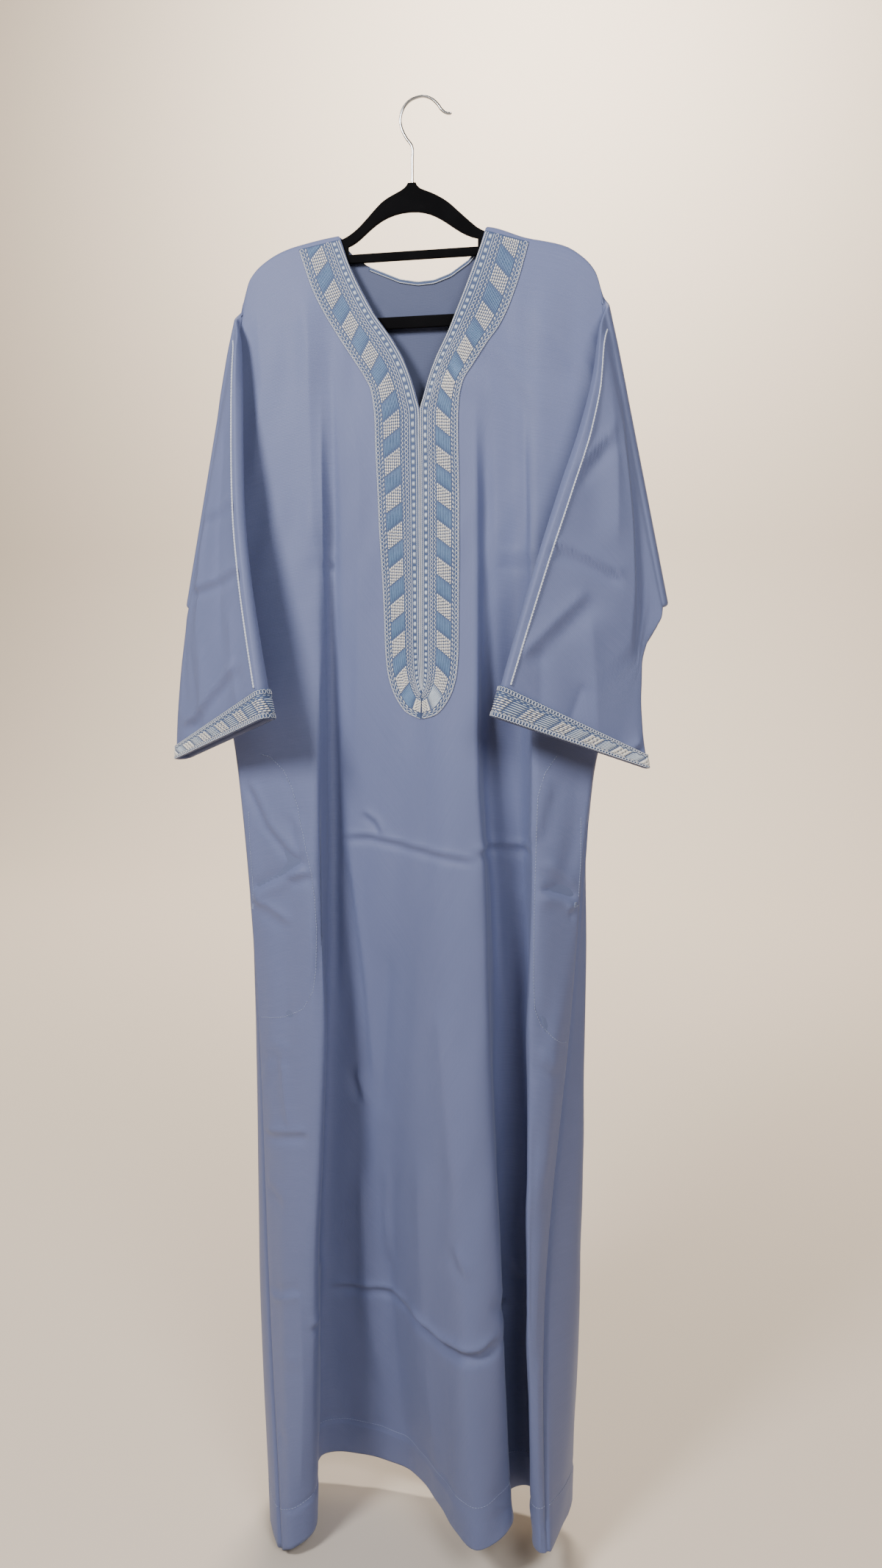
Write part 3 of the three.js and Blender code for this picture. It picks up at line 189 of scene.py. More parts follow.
# Sleeves, from the armhole to the cuff: upper edge, under edge, then the distance of the
# hidden layer and of both halves of the seen one from the middle, and the place of the
# soft fold between those halves as a share of the width.
LEFT_SLEEVE_ROWS = [
    ((-213, -21, -252), (-290, -14, -572), 4.4, 6.5, 3.6, 0.55),
    ((-210, -30, -305), (-291, -15, -588), 4.4, 7.5, 4, 0.62),
    ((-206, -43, -368), (-293, -16, -607), 4.4, 7.5, 4.6, 0.7),
    ((-200, -59, -438), (-296, -17, -631), 4.6, 7, 5.2, 0.74),
    ((-189, -77, -510), (-299, -18, -661), 5.5, 6.6, 6, 0.7),
    ((-173, -95, -592), (-302, -19, -699), 7.5, 7, 7, 0.6),
    ((-154, -112, -684), (-304, -20, -744), 10, 8, 8, 0.5),
]
RIGHT_SLEEVE_ROWS = [
    ((201, -21, -258), (276, -14, -570), 4.4, 9, 3.2, 0.42),
    ((196, -29, -306), (269, -14, -584), 4.4, 11, 3.2, 0.62),
    ((185, -41, -360), (259, -15, -603), 4.4, 12, 4, 0.8),
    ((165, -57, -428), (254, -18, -629), 4.6, 11, 6, 0.86),
    ((144, -73, -502), (254, -22, -659), 5.5, 8.5, 7, 0.76),
    ((123, -87, -582), (257, -27, -696), 7.5, 7, 7, 0.6),
    ((98, -99, -679), (264, -32, -740), 10, 8, 8, 0.5),
]

HALF_SEAM = 0.15  # each side of a seam stays this far from its middle
CAP_RADIUS = 4.4  # the cloth rounds over the hanger arm with this radius
UNDERARM_Z = -560
TOP_BLEND_Z = -300  # below this height the cloth hangs by level sections
LEFT_TIP = (-214, -205)
LEFT_UNDERARM = (-289, -560)
RIGHT_TIP = (201, -214)
RIGHT_UNDERARM = (277, -560)
LIP_IN, LIP_DEPTH = 1.5, 3.0  # the cloth rolls into a side seam through two close places
CHEEK_IN, CHEEK_DEPTH = 6.0, 4.2

# %% [markdown]
# ## Smooth curves through a few places
# Down the garment each value follows a cubic that never overshoots its places, so a fold
# doesn't bulge between two heights. Round a level section the curve is a Catmull-Rom
# spline whose pace follows the distance between its places, which keeps sharp folds from
# looping. Blender's own curves could do this, but a table of numbers is easier to join to
# the sleeves and to the stitches.

# %% Curves
def unit(v):
    v = np.asarray(v, float)
    return v / np.linalg.norm(v, axis=-1, keepdims=True)


def distances(places, axis=0):
    """Distance of each place from the first, walked along an axis of a grid of places."""
    steps = np.diff(places, axis=axis, prepend=np.take(places, [0], axis=axis))
    return np.cumsum(np.linalg.norm(steps, axis=-1), axis=axis)


def interpolate(at, keys, table):
    """Each column of a table between its keys, in straight lines."""
    return np.stack([np.interp(at, keys, column) for column in np.asarray(table, float).T], axis=-1)


def bilinear(grid, r, c):
    """A grid between its places, at rows r and columns c."""
    r0 = np.minimum(r.astype(int), grid.shape[0] - 2)
    c0 = np.minimum(c.astype(int), grid.shape[1] - 2)
    values = (1,) * (grid.ndim - 2)
    u, v = (r - r0).reshape(r.shape + values), (c - c0).reshape(c.shape + values)
    upper = grid[r0, c0] * (1 - v) + grid[r0, c0 + 1] * v
    lower = grid[r0 + 1, c0] * (1 - v) + grid[r0 + 1, c0 + 1] * v
    return upper * (1 - u) + lower * u


def smooth_table(keys, values, at):
    """Values between their keys, along a cubic that never overshoots them."""
    keys = np.asarray(keys, float)
    values = np.asarray(values, float)
    at = np.clip(np.asarray(at, float), keys[0], keys[-1])
    slopes = np.diff(values) / np.diff(keys)
    tangents = np.concatenate([slopes[:1], np.zeros(len(keys) - 2), slopes[-1:]])
    both = slopes[:-1] * slopes[1:]
    total = np.where(both > 0, slopes[:-1] + slopes[1:], 1.0)
    tangents[1:-1] = np.where(both > 0, 2 * both / total, 0.0)
    i = np.clip(np.searchsorted(keys, at, side="right") - 1, 0, len(keys) - 2)
    span = keys[i + 1] - keys[i]
    t = (at - keys[i]) / span
    return (
        (2 * t**3 - 3 * t**2 + 1) * values[i]
        + (t**3 - 2 * t**2 + t) * span * tangents[i]
        + (3 * t**2 - 2 * t**3) * values[i + 1]
        + (t**3 - t**2) * span * tangents[i + 1]
    )


def smooth_columns(keys, table, at):
    """Each column of a table through smooth_table."""
    return np.stack([smooth_table(keys, column, at) for column in np.asarray(table, float).T], axis=1)


def smooth_step(value):
    """0 up to 0, 1 from 1 on, and a soft slope between."""
    t = np.clip(value, 0, 1)
    return t * t * (3 - 2 * t)


def curve_points(controls, shares):
    """Places on the splines through controls (rows, places, axes), at shares 0 to places-1."""
    first = 2 * controls[:, :1] - controls[:, 1:2]
    last = 2 * controls[:, -1:] - controls[:, -2:-1]
    full = np.concatenate([first, controls, last], axis=1)
    pace = np.maximum(np.linalg.norm(np.diff(full, axis=1), axis=2) ** 0.5, 1e-2)
    i = np.clip(np.floor(shares).astype(int), 0, controls.shape[1] - 2)
    t = (shares - i)[None, :, None]
    a, b, c, d = full[:, i], full[:, i + 1], full[:, i + 2], full[:, i + 3]
    before, here, after = (pace[:, i + k][:, :, None] for k in range(3))
    start = ((b - a) / before - (c - a) / (before + here) + (c - b) / here) * here
    end = ((c - b) / here - (d - b) / (here + after) + (d - c) / after) * here
    return (
        b + start * t + (3 * (c - b) - 2 * start - end) * t**2
        + (2 * (b - c) + start + end) * t**3
    )


def armhole_x(tip, underarm, z):
    """x of a panel's edge in the armhole at height z, half a seam inside the line."""
    share = np.clip((z - tip[1]) / (underarm[1] - tip[1]), 0, 1)
    return tip[0] + (underarm[0] - tip[0]) * share - math.copysign(HALF_SEAM, tip[0])


def shoulder_height(x):
    """Height of the shoulders' outline at x."""
    line = np.array(SHOULDER_LINE, float)
    return smooth_table(line[:, 0], line[:, 1], x)


# %% [markdown]
# ## Level sections
# A section gathers the lines at one height. Beside each side seam two more places make
# the lips with which the cloth rolls into the seam.

# %% Sections
class Panel:
    """The front or the back: facing is -1 for the front, whose outside faces -Y, else 1."""

    def __init__(self, lines, hem, facing):
        self.lines, self.facing = lines, facing
        self.names = list(hem)
        self.hems = np.array(list(hem.values()), float)

    def controls(self, z):
        """The places of the sections at heights z, in the order of the names."""
        keys = -np.array(LEVELS, float)
        z = np.asarray(z, float)
        places = {name: smooth_columns(keys, line, -z) for name, line in self.lines.items()}
        turn = smooth_table(keys, TURN, -z)
        above = z >= UNDERARM_Z
        places["left_edge"][above, 0] = armhole_x(LEFT_TIP, LEFT_UNDERARM, z[above])
        places["right_edge"][above, 0] = armhole_x(RIGHT_TIP, RIGHT_UNDERARM, z[above])
        for side, after in (("left", 3), ("right", -4)):
            edge = places[side + "_edge"]
            inward = unit(places[self.names[after]] - edge)
            for part, reach, depth in (("lip", LIP_IN, LIP_DEPTH), ("cheek", CHEEK_IN, CHEEK_DEPTH)):
                place = edge + inward * reach
                place[:, 1] += self.facing * depth * turn
                places[f"{side}_{part}"] = place
        return np.stack([places[name] for name in self.names], axis=1)

    def section(self, z, shares):
        """x, y of the sections at heights z, at shares from 0 to the number of the last name."""
        return curve_points(self.controls(z), shares)

    def hem_height(self, shares):
        return np.interp(shares, np.arange(len(self.names)), self.hems)

    def even_shares(self, z, count):
        """Column shares an even distance apart on the section at z, closer in the seams."""
        last = len(self.names) - 1
        fine = np.linspace(2, last - 2, 4000)
        length = distances(self.section(np.array([z]), fine)[0])
        middle = np.interp(np.linspace(0, length[-1], count), length, fine)
        return np.concatenate([[0, 0.5, 1, 1.5], middle, last - np.array([1.5, 1, 0.5, 0])])


front = Panel(FRONT_LINES, FRONT_HEM, -1)
back = Panel(BACK_LINES, BACK_HEM, 1)
print("front section lines:", len(front.names), "back section lines:", len(back.names))

# %% [markdown]
# ## From the shoulder to the hem
# Every column of the cloth starts on the ridge over the hanger arm, or at the cut edge of
# the neck, rolls over the arm and hangs down to the hem. The top of each column is walked
# in small steps, cut where it leaves the neck opening, and shared out again in even
# steps, so the mesh follows the neck without a ragged edge. Further down, the rows stand
# closer together where a narrow crease runs across.

# %% Grids of cloth
ARC = np.linspace(0, math.pi / 2, 9)
TOP_END_Z = -420
LEVEL_END_Z = -1620
HEM_SECTION_Z = -1700
CAP_STEPS = np.array([0, 2.3, 4.6, 6.9])  # close rows where the cloth rounds over the arm
SWELL = 1.15  # how early the cloth reaches its depth below the arm
FALL_STEPS, LEVEL_STEPS = 60, 12  # fine steps above and below TOP_BLEND_Z
SLIT_TOP_Z = -550  # a row just above the underarm


def onto_armholes(row):
    """Stretches a row so that it ends at the two armhole lines."""
    left = armhole_x(LEFT_TIP, LEFT_UNDERARM, row[0, 2])
    right = armhole_x(RIGHT_TIP, RIGHT_UNDERARM, row[-1, 2])
    row[:, 0] = left + (row[:, 0] - row[0, 0]) * (right - left) / (row[-1, 0] - row[0, 0])
    return row


def top_paths(panel, shares):
    """Fine paths of the columns from the ridge of the shoulder down to TOP_END_Z."""
    top, joined = panel.section(np.array([LEVELS[0], TOP_BLEND_Z]), shares)
    tip_left, tip_right = LEFT_TIP[0] + HALF_SEAM, RIGHT_TIP[0] - HALF_SEAM
    cap_x = tip_left + (top[:, 0] - top[0, 0]) / (top[-1, 0] - top[0, 0]) * (tip_right - tip_left)
    ridge = shoulder_height(cap_x)
    rows = []
    for angle in ARC:
        depth = max(CAP_RADIUS * math.sin(angle), HALF_SEAM)
        height = ridge - CAP_RADIUS * (1 - math.cos(angle))
        rows.append(onto_armholes(np.stack([cap_x, np.full_like(cap_x, panel.facing * depth), height], 1)))
    from_y = panel.facing * CAP_RADIUS
    from_z = ridge - CAP_RADIUS
    for t in np.linspace(0, 1, FALL_STEPS + 1)[1:]:
        swell = math.sqrt(smooth_step(t * SWELL))
        rows.append(onto_armholes(np.stack([
            cap_x + (joined[:, 0] - cap_x) * t,
            from_y + (joined[:, 1] - from_y) * swell,
            from_z + (TOP_BLEND_Z - from_z) * t,
        ], 1)))
    levels = np.linspace(TOP_BLEND_Z, TOP_END_Z, LEVEL_STEPS + 1)[1:]
    for z, line in zip(levels, panel.section(levels, shares)):
        rows.append(np.column_stack([line, np.full(len(line), z)]))
    return np.stack(rows, axis=1)


def cut_at_neck(path, neck):
    """The rest of a column's path, from the place where it leaves the neck opening."""
    neck = np.array(neck, float)
    over = path[:, 2] - np.interp(path[:, 0], neck[:, 0], neck[:, 1])
    outside = (path[:, 0] <= neck[0, 0]) | (path[:, 0] >= neck[-1, 0])
    over[outside] = -1
    within = np.nonzero(over > 0)[0]
    if len(within) == 0:
        return path
    last = within[-1]
    share = over[last] / (over[last] - over[last + 1])
    start = path[last] + (path[last + 1] - path[last]) * share
    return np.vstack([start, path[last + 1:]])


def shared_out(path, count):
    """A path in CAP_STEPS and then even steps."""
    length = distances(path)
    steps = np.concatenate([CAP_STEPS, np.linspace(CAP_STEPS[-1], length[-1], count + 1)[1:]])
    return interpolate(steps, length, path)


def level_rows(step, zones):
    """Heights of the level rows, closer together in zones of low, high and step."""
    levels = [TOP_END_Z]
    while levels[-1] > LEVEL_END_Z:
        fine = [close for low, high, close in zones if low < levels[-1] < high]
        levels.append(levels[-1] - min([step] + fine))
    return np.array(levels[1:-1])


def panel_grid(panel, shares, neck, top_rows, levels, hem_rows):
    """The grid of a whole panel: top, level rows and hem."""
    paths = top_paths(panel, shares)
    top = np.stack([shared_out(cut_at_neck(path, neck), top_rows) for path in paths], axis=1)
    levels = np.unique(np.concatenate([levels, [SLIT_TOP_Z, UNDERARM_Z, LEVEL_END_Z]]))[::-1]
    body = panel.section(levels, shares)
    body = np.concatenate([body, np.repeat(levels[:, None, None], len(shares), 1)], axis=2)
    down = np.linspace(0, 1, hem_rows + 1)[1:]
    sections = LEVEL_END_Z + (HEM_SECTION_Z - LEVEL_END_Z) * down
    hem = panel.section(sections, shares)
    heights = LEVEL_END_Z + (panel.hem_height(shares) - LEVEL_END_Z) * down[:, None]
    hem = np.concatenate([hem, heights[:, :, None]], axis=2)
    return np.concatenate([top, body, hem], axis=0)

# %% [markdown]
# ## Creases, drape and the seams' pull
# A packed robe keeps the sharp lines of its folding, and a hanging one bends softly over
# them. Real creases could be sculpted. Here each one is a short line of places with a
# width and a height, pressed into the grid along its own normals: a ridge or trough, with
# an opposite one beside it where the cloth was folded hard. A few long, faint waves keep
# the wide plain areas from looking like card.

# %% Creases
CREASE_DEPTH = 1.35  # all heights are multiplied by this
CREST_ROUND = 0.6  # rounds the crest off, in square millimetres
CREST_TOP = 0.77  # its square root
CREST_WIDTH = 0.85
PAIR_AWAY, PAIR_WIDTH = 1.7, 1.3  # of the opposite line, in widths of the crease
CREASE_REACH = 5  # nothing is added further away than this many widths
END_FADE = 0.18  # share of the length over which a crease fades at both ends
WAVE_LENGTHS = (46, 71, 103, 150)
ROUND = 6.28  # one turn of a wave

# Each crease: places as x, z; width; height (a trough is negative); how much of an
# opposite line runs along its lower side.
FRONT_CREASES = [
    ([(-129, -1424), (-100, -1420), (-62, -1414), (-34, -1412), (-3, -1414)], 5, 2.5, 1.0),
    ([(-14, -1413), (20, -1419), (43, -1421), (66, -1416), (91, -1413), (112, -1397)], 6, 4.5, 1.1),
    ([(112, -1356), (124, -1372), (142, -1378)], 6, 2.4, 0.9),
    ([(157, -1446), (178, -1432), (199, -1411)], 6, 2.7, 0.9),
    ([(-110, -833), (-64, -829), (13, -837), (84, -845)], 4, 1.9, 1.0),
    ([(68, -834), (105, -834), (137, -834)], 5, 2.0, 0.9),
    ([(-72, -800), (-52, -812), (-43, -828)], 4, 1.8, 0.8),
    ([(-92, -830), (-81, -920), (-67, -1024), (-57, -1160)], 5, 1.9, 0.9),
    ([(-215, -762), (-184, -818), (-136, -864)], 5, 2.2, 0.9),
    ([(-150, -800), (-135, -846), (-126, -872)], 5, 2.2, 0.8),
    ([(-160, -882), (-142, -874), (-124, -869)], 5, 2.4, 0.8),
    ([(-208, -1108), (-176, -1094), (-148, -1090)], 5, 2.2, 0.9),
    ([(-204, -1156), (-190, -1125), (-174, -1106)], 6, 2.2, 0.8),
    ([(150, -1070), (169, -1085), (186, -1095)], 6, 2.6, 0.8),
    ([(176, -906), (190, -902), (199, -898)], 5, 2.4, 0.8),
    ([(138, -830), (146, -790), (156, -750)], 6, 2.0, 0.7),
    ([(-41, -1379), (-45, -1302), (-39, -1240)], 6, 1.8, 0.8),
    ([(-129, -1385), (-152, -1394), (-180, -1408)], 5, 2.0, 0.9),
    ([(-201, -1204), (-165, -1192), (-123, -1181)], 5, 2.5, 0.9),
    ([(-175, -1481), (-150, -1474), (-121, -1466)], 4, 1.5, 0.9),
    ([(-142, -507), (-119, -505), (-102, -501)], 4, 1.5, 0.9),
    ([(86, -502), (114, -501), (150, -506)], 5, 1.7, 0.8),
    ([(-222, -907), (-175, -882), (-134, -853)], 6, -3.3, 0.7),
    ([(-224, -912), (-186, -918), (-150, -936)], 7, 2.2, 0.5),
    ([(146, -878), (172, -884), (198, -896)], 6, -3.0, 0.7),
    ([(150, -846), (176, -868), (199, -893)], 6, 2.0, 0.5),
    ([(-83, -1128), (-76, -1146), (-70, -1169)], 6, 2.8, 0.8),
    ([(60, -1298), (68, -1316), (79, -1329)], 6, 2.7, 0.6),
    ([(-121, -1090), (-121, -760), (-120, -600), (-119, -450), (-119, -290)], 6, 3.4, 1.3),
    ([(91, -1090), (83, -900), (73, -760), (69, -600), (66, -450), (63, -310)], 6, 3.4, 1.4),
    ([(128, -300), (131, -450), (134, -600), (138, -760), (142, -900), (141, -1070)], 6, 3.0, 1.2),
    ([(-140, -180), (-133, -260), (-131, -435), (-130, -520)], 13, 2.1, 0.5),
    ([(-112, -250), (-106, -330), (-107, -434), (-111, -560)], 13, -2.0, 0.0),
    ([(-89, -300), (-73, -402), (-75, -600), (-84, -760)], 16, 1.8, 0.0),
    ([(144, -180), (140, -242), (136, -344), (135, -440)], 11, 2.1, 0.7),
    ([(168, -180), (172, -243), (165, -330)], 12, -1.9, 0.0),
    ([(-196, -196), (-192, -300), (-204, -430)], 15, 2.0, 0.6),
    ([(-57, -1560), (-72, -1400), (-80, -1240)], 14, 2.8, 0.5),
    ([(-20, -1640), (-32, -1500), (-44, -1330)], 15, -2.5, 0.0),
    ([(34, -1630), (22, -1500), (12, -1340), (4, -1180)], 17, 2.5, 0.4),
    ([(-182, -1640), (-186, -1500), (-192, -1330), (-196, -1220)], 11, 2.1, 0.4),
    ([(-130, -1640), (-128, -1500), (-134, -1360)], 9, 2.1, 0.0),
    ([(150, -1130), (148, -1290), (150, -1420)], 9, -2.1, 0.0),
    ([(30, -1010), (42, -1110), (56, -1240)], 15, 2.1, 0.4),
    ([(-36, -960), (-42, -1060), (-50, -1190)], 16, -2.0, 0.0),
    ([(-166, -1090), (-158, -1150), (-150, -1190)], 8, 2.1, 0.5),
    ([(-206, -1236), (-180, -1262), (-150, -1276)], 6, 2.1, 0.8),
    ([(-184, -737), (-154, -772), (-138, -825), (-121, -900), (-118, -987), (-121, -1013), (-135, -1037),
      (-162, -1052), (-204, -1062)], 5, -1.6, 0.0),
    ([(150, -747), (143, -773), (142, -900), (145, -1017), (165, -1051), (184, -1063)], 5, -1.6, 0.0),
    ([(-190, -1540), (-170, -1556), (-140, -1560)], 5, 1.7, 0.8),
]
BACK_CREASES = [
    ([(-188, -1410), (-90, -1416), (20, -1409), (120, -1414), (186, -1402)], 6, 3.0, 1.0),
    ([(-180, -828), (-60, -832), (60, -826), (170, -832)], 5, 2.0, 1.0),
    ([(-184, -1195), (-120, -1186), (-60, -1192)], 5, 2.1, 0.9),
    ([(60, -1130), (110, -1122), (170, -1128)], 5, 1.8, 0.9),
    ([(-6, -250), (-4, -600), (-8, -1000), (-10, -1500)], 5, 1.5, 0.9),
    ([(-120, -260), (-128, -460), (-132, -700)], 18, 2.5, 0.4),
    ([(100, -250), (112, -460), (110, -680)], 18, 2.5, 0.4),
    ([(-60, -700), (-72, -1000), (-76, -1500), (-74, -1660)], 22, 3.8, 0.3),
    ([(58, -640), (66, -960), (76, -1400), (72, -1655)], 22, 4.0, 0.3),
    ([(130, -1000), (136, -1300), (132, -1650)], 18, -3.0, 0.0),
    ([(-140, -980), (-136, -1260), (-138, -1660)], 18, -3.0, 0.0),
    ([(-40, -205), (-58, -230), (-84, -246)], 6, 2.4, 0.8),
    ([(10, -202), (36, -222), (58, -226)], 6, 2.7, 0.8),
    ([(28, -206), (40, -236), (34, -262)], 7, 2.2, 0.5),
]
LEFT_SLEEVE_CREASES = [
    ([(-285, -538), (-235, -526), (-191, -508)], 5, 2.5, 0.9),
    ([(-298, -702), (-272, -688), (-241, -657), (-196, -617)], 6, 3.4, 0.8),
    ([(-280, -452), (-240, -446), (-207, -430)], 6, 1.9, 0.7),
    ([(-252, -300), (-262, -430), (-268, -560)], 14, 2.2, 0.5),
    ([(-232, -320), (-236, -470), (-228, -620)], 14, -2.0, 0.0),
    ([(-214, -560), (-206, -640), (-192, -690)], 10, 1.6, 0.5),
    ([(-262, -600), (-262, -660), (-250, -716)], 11, 1.5, 0.4),
]
RIGHT_SLEEVE_CREASES = [
    ([(150, -486), (196, -506), (240, -527)], 5, 2.4, 0.9),
    ([(171, -423), (197, -395), (226, -362)], 6, 2.5, 0.8),
    ([(240, -720), (254, -712), (268, -700)], 5, 3.4, 0.8),
    ([(121, -619), (166, -572), (200, -538)], 8, 2.4, 0.6),
    ([(214, -300), (224, -400), (226, -500)], 12, 2.2, 0.5),
    ([(198, -560), (206, -640), (210, -716)], 13, 1.9, 0.5),
    ([(150, -600), (150, -660), (144, -700)], 12, -1.6, 0.0),
    ([(196, -640), (180, -690), (170, -716)], 8, -1.9, 0.0),
]


def crease_height(places, creases):
    """Height that the creases add at places (..., 2), given as x, z."""
    height = np.zeros(places.shape[:-1])
    for line, width, rise, pair in creases:
        line = np.array(line, float)
        starts, steps = line[:-1], np.diff(line, axis=0)
        lengths, before = np.linalg.norm(steps, axis=1), distances(line)
        reach = CREASE_REACH * width
        low, high = line.min(axis=0) - reach, line.max(axis=0) + reach
        near = np.all((places > low) & (places < high), axis=-1)
        spots = places[near]
        if len(spots) == 0:
            continue
        gaps = spots[:, None] - starts
        share = np.clip(np.sum(gaps * steps, axis=2) / lengths**2, 0, 1)
        offset = gaps - share[:, :, None] * steps
        distance = np.linalg.norm(offset, axis=2)
        which = np.argmin(distance, axis=1)
        pick = np.arange(len(spots))
        away = distance[pick, which]
        along = (before[which] + share[pick, which] * lengths[which]) / before[-1]
        step, beside = steps[which], offset[pick, which]
        signed = away * np.sign(step[:, 0] * beside[:, 1] - step[:, 1] * beside[:, 0])
        fade = smooth_step(np.minimum(along, 1 - along) / END_FADE)
        shape = np.exp(-(np.sqrt(away**2 + CREST_ROUND) - CREST_TOP) / (CREST_WIDTH * width))
        shape -= pair * np.exp(-((signed + PAIR_AWAY * width) / (PAIR_WIDTH * width)) ** 2)
        height[near] += CREASE_DEPTH * rise * shape * fade
    return height


def faint_waves(across, down, seed, size):
    """Long upright waves of the given size, for places across and down the cloth."""
    chance = np.random.default_rng(seed)
    height = np.zeros_like(across)
    for length in WAVE_LENGTHS:
        lean, phase, fade = (chance.uniform(*span) for span in ((-0.12, 0.12), (0, ROUND), (0, ROUND)))
        height += np.sin(ROUND * (across + lean * down) / length + phase) * (
            0.55 + 0.45 * np.sin(ROUND * down / (4.1 * length) + fade))
    return height * size / 2.2


# %% [markdown]
# ## Helpers for sheets
# A sheet is a grid of places. From it come its normals, a map that is measured along the
# cloth itself, so that the weave keeps its size on every fold, and the faces. The wall
# of the cloth is given by Solidify, which is applied straight away.

# %% Sheet helpers
MM = 0.001


def grid_normals(grid, outward):
    """Unit normals of a grid; outward is 1 where across x down points out, else -1."""
    across = np.gradient(grid, axis=1)
    down = np.gradient(grid, axis=0)
    normals = np.cross(across, down) * outward
    return normals / np.maximum(np.linalg.norm(normals, axis=2), 1e-9)[:, :, None]


def fade_in(count, start, length):
    """0 at the first and last places of a row, 1 further in: a slope after start places."""
    inside = np.minimum(np.arange(count), np.arange(count)[::-1])
    return smooth_step((inside - start) / length)


def cloth_map(grid):
    """Distances across and down the cloth in metres, for each place of the grid."""
    across = distances(grid, 1)
    across -= across[:, across.shape[1] // 2][:, None]
    return np.stack([across, -distances(grid)], axis=2) * MM


def grid_faces(rows, columns, closed=False):
    r, c = np.meshgrid(np.arange(rows - 1), np.arange(columns if closed else columns - 1), indexing="ij")
    after = (c + 1) % columns
    quads = [r * columns + c, (r + 1) * columns + c, (r + 1) * columns + after, r * columns + after]
    return np.stack(quads, axis=2).reshape(-1, 4)


def new_piece(name, places, faces, materials, uv=None, slots=None):
    """A mesh object from places in millimetres."""
    mesh = bpy.data.meshes.new(name)
    faces = faces.tolist() if isinstance(faces, np.ndarray) else faces
    mesh.from_pydata((np.asarray(places).reshape(-1, 3) * MM).tolist(), [], faces)
    mesh.polygons.foreach_set("use_smooth", [True] * len(mesh.polygons))
    if uv is not None:
        corners = np.empty(len(mesh.loops), dtype=np.int32)
        mesh.loops.foreach_get("vertex_index", corners)
        layer = mesh.uv_layers.new(name="UVMap")
        layer.data.foreach_set("uv", np.asarray(uv).reshape(-1, 2)[corners].ravel())
    for material in materials:
        mesh.materials.append(material)
    if slots is not None:
        mesh.polygons.foreach_set("material_index", slots)
    piece = bpy.data.objects.new(name, mesh)
    bpy.context.scene.collection.objects.link(piece)
    return piece


def new_sheet(name, grid, normals, material, closed=False):
    """A mesh object from a grid, with faces that look along the normals."""
    faces = grid_faces(*grid.shape[:2], closed=closed)
    a, b, d = (grid.reshape(-1, 3)[faces[:, k]] for k in (0, 1, 3))
    if np.sum(np.cross(b - a, d - a) * normals.reshape(-1, 3)[faces[:, 0]]) < 0:
        faces = faces[:, ::-1]
    return new_piece(name, grid, faces, [material], cloth_map(grid))


def work_on(piece):
    """Selects a piece for the next operator."""
    bpy.ops.object.select_all(action="DESELECT")
    piece.select_set(True)
    bpy.context.view_layer.objects.active = piece


def give_wall(piece, thickness, inner=None):
    """Gives the cloth its wall, inward, and its inner side the inner material."""
    work_on(piece)
    wall = piece.modifiers.new("wall", "SOLIDIFY")
    wall.thickness = thickness * MM
    wall.offset = -1
    if inner:
        piece.data.materials.append(inner)
        wall.material_offset = 1
    bpy.ops.object.modifier_apply(modifier=wall.name)
    print(piece.name, "faces:", len(piece.data.polygons))


def belongs(piece, slot, *nodes):
    """The piece rides on the garment's one body and stands for the named nodes."""
    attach(piece, "root")
    if nodes:
        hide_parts(*nodes)


# %% [markdown]
# ## Helpers for materials
# A material is a small net of nodes. Each node is made by one line that gives its inputs,
# a number or the output of another node. Every surface here varies its colour, roughness
# and height in the same way, so that part is shared.

# %% Material helpers
def set_inputs(tree, node, values):
    """Gives a node's inputs their numbers, or links them to other nodes' outputs."""
    for key, value in values.items():
        if isinstance(value, bpy.types.NodeSocket):
            tree.links.new(value, node.inputs[key])
        else:
            node.inputs[key].default_value = value


def add_node(tree, kind, values=None, **settings):
    """Adds a node and returns its outputs."""
    node = tree.nodes.new("ShaderNode" + kind)
    for name, setting in settings.items():
        setattr(node, name, setting)
    set_inputs(tree, node, values or {})
    return node.outputs


def new_group(name, inputs):
    """A node group with the given inputs, and the outputs of its input node."""
    group = bpy.data.node_groups.new(name, "ShaderNodeTree")
    for title, kind in inputs:
        group.interface.new_socket(title, in_out="INPUT", socket_type="NodeSocket" + kind)
    return group, group.nodes.new("NodeGroupInput").outputs


def end_group(group, results):
    """Gives a node group its outputs."""
    for title in results:
        group.interface.new_socket(title, in_out="OUTPUT", socket_type="NodeSocketFloat")
    set_inputs(group, group.nodes.new("NodeGroupOutput"), results)


def new_material(name, values):
    """A material with the given inputs of its shader."""
    material = bpy.data.materials.new(name)
    material.use_nodes = True
    set_inputs(material.node_tree, material.node_tree.nodes["Principled BSDF"], values)
    return material


def vary(material, share, dark, light, grain, rough, height, strength, distance):
    """Colour from dark to light by share, roughness by grain and relief by height."""
    tree = material.node_tree
    colour = add_node(tree, "Mix", {0: share, 6: (*dark, 1), 7: (*light, 1)}, data_type="RGBA")
    roughness = add_node(tree, "MapRange", {"Value": grain, "To Min": rough[0], "To Max": rough[1]})
    relief = add_node(tree, "Bump", {"Height": height, "Strength": strength, "Distance": distance})
    set_inputs(tree, tree.nodes["Principled BSDF"],
               {"Base Color": colour[2], "Roughness": roughness[0], "Normal": relief[0]})


# %% [markdown]
# ## The blue cloth
# The robe is a smooth, slightly satiny plain weave with faint slubs across it. The weave
# could be modelled thread by thread, but at this distance it is only a fine grain. So
# a shared node group makes two heights from the cloth map, the regular threads and the
# irregular slubs, and each cloth uses them for its bump, colour and roughness.

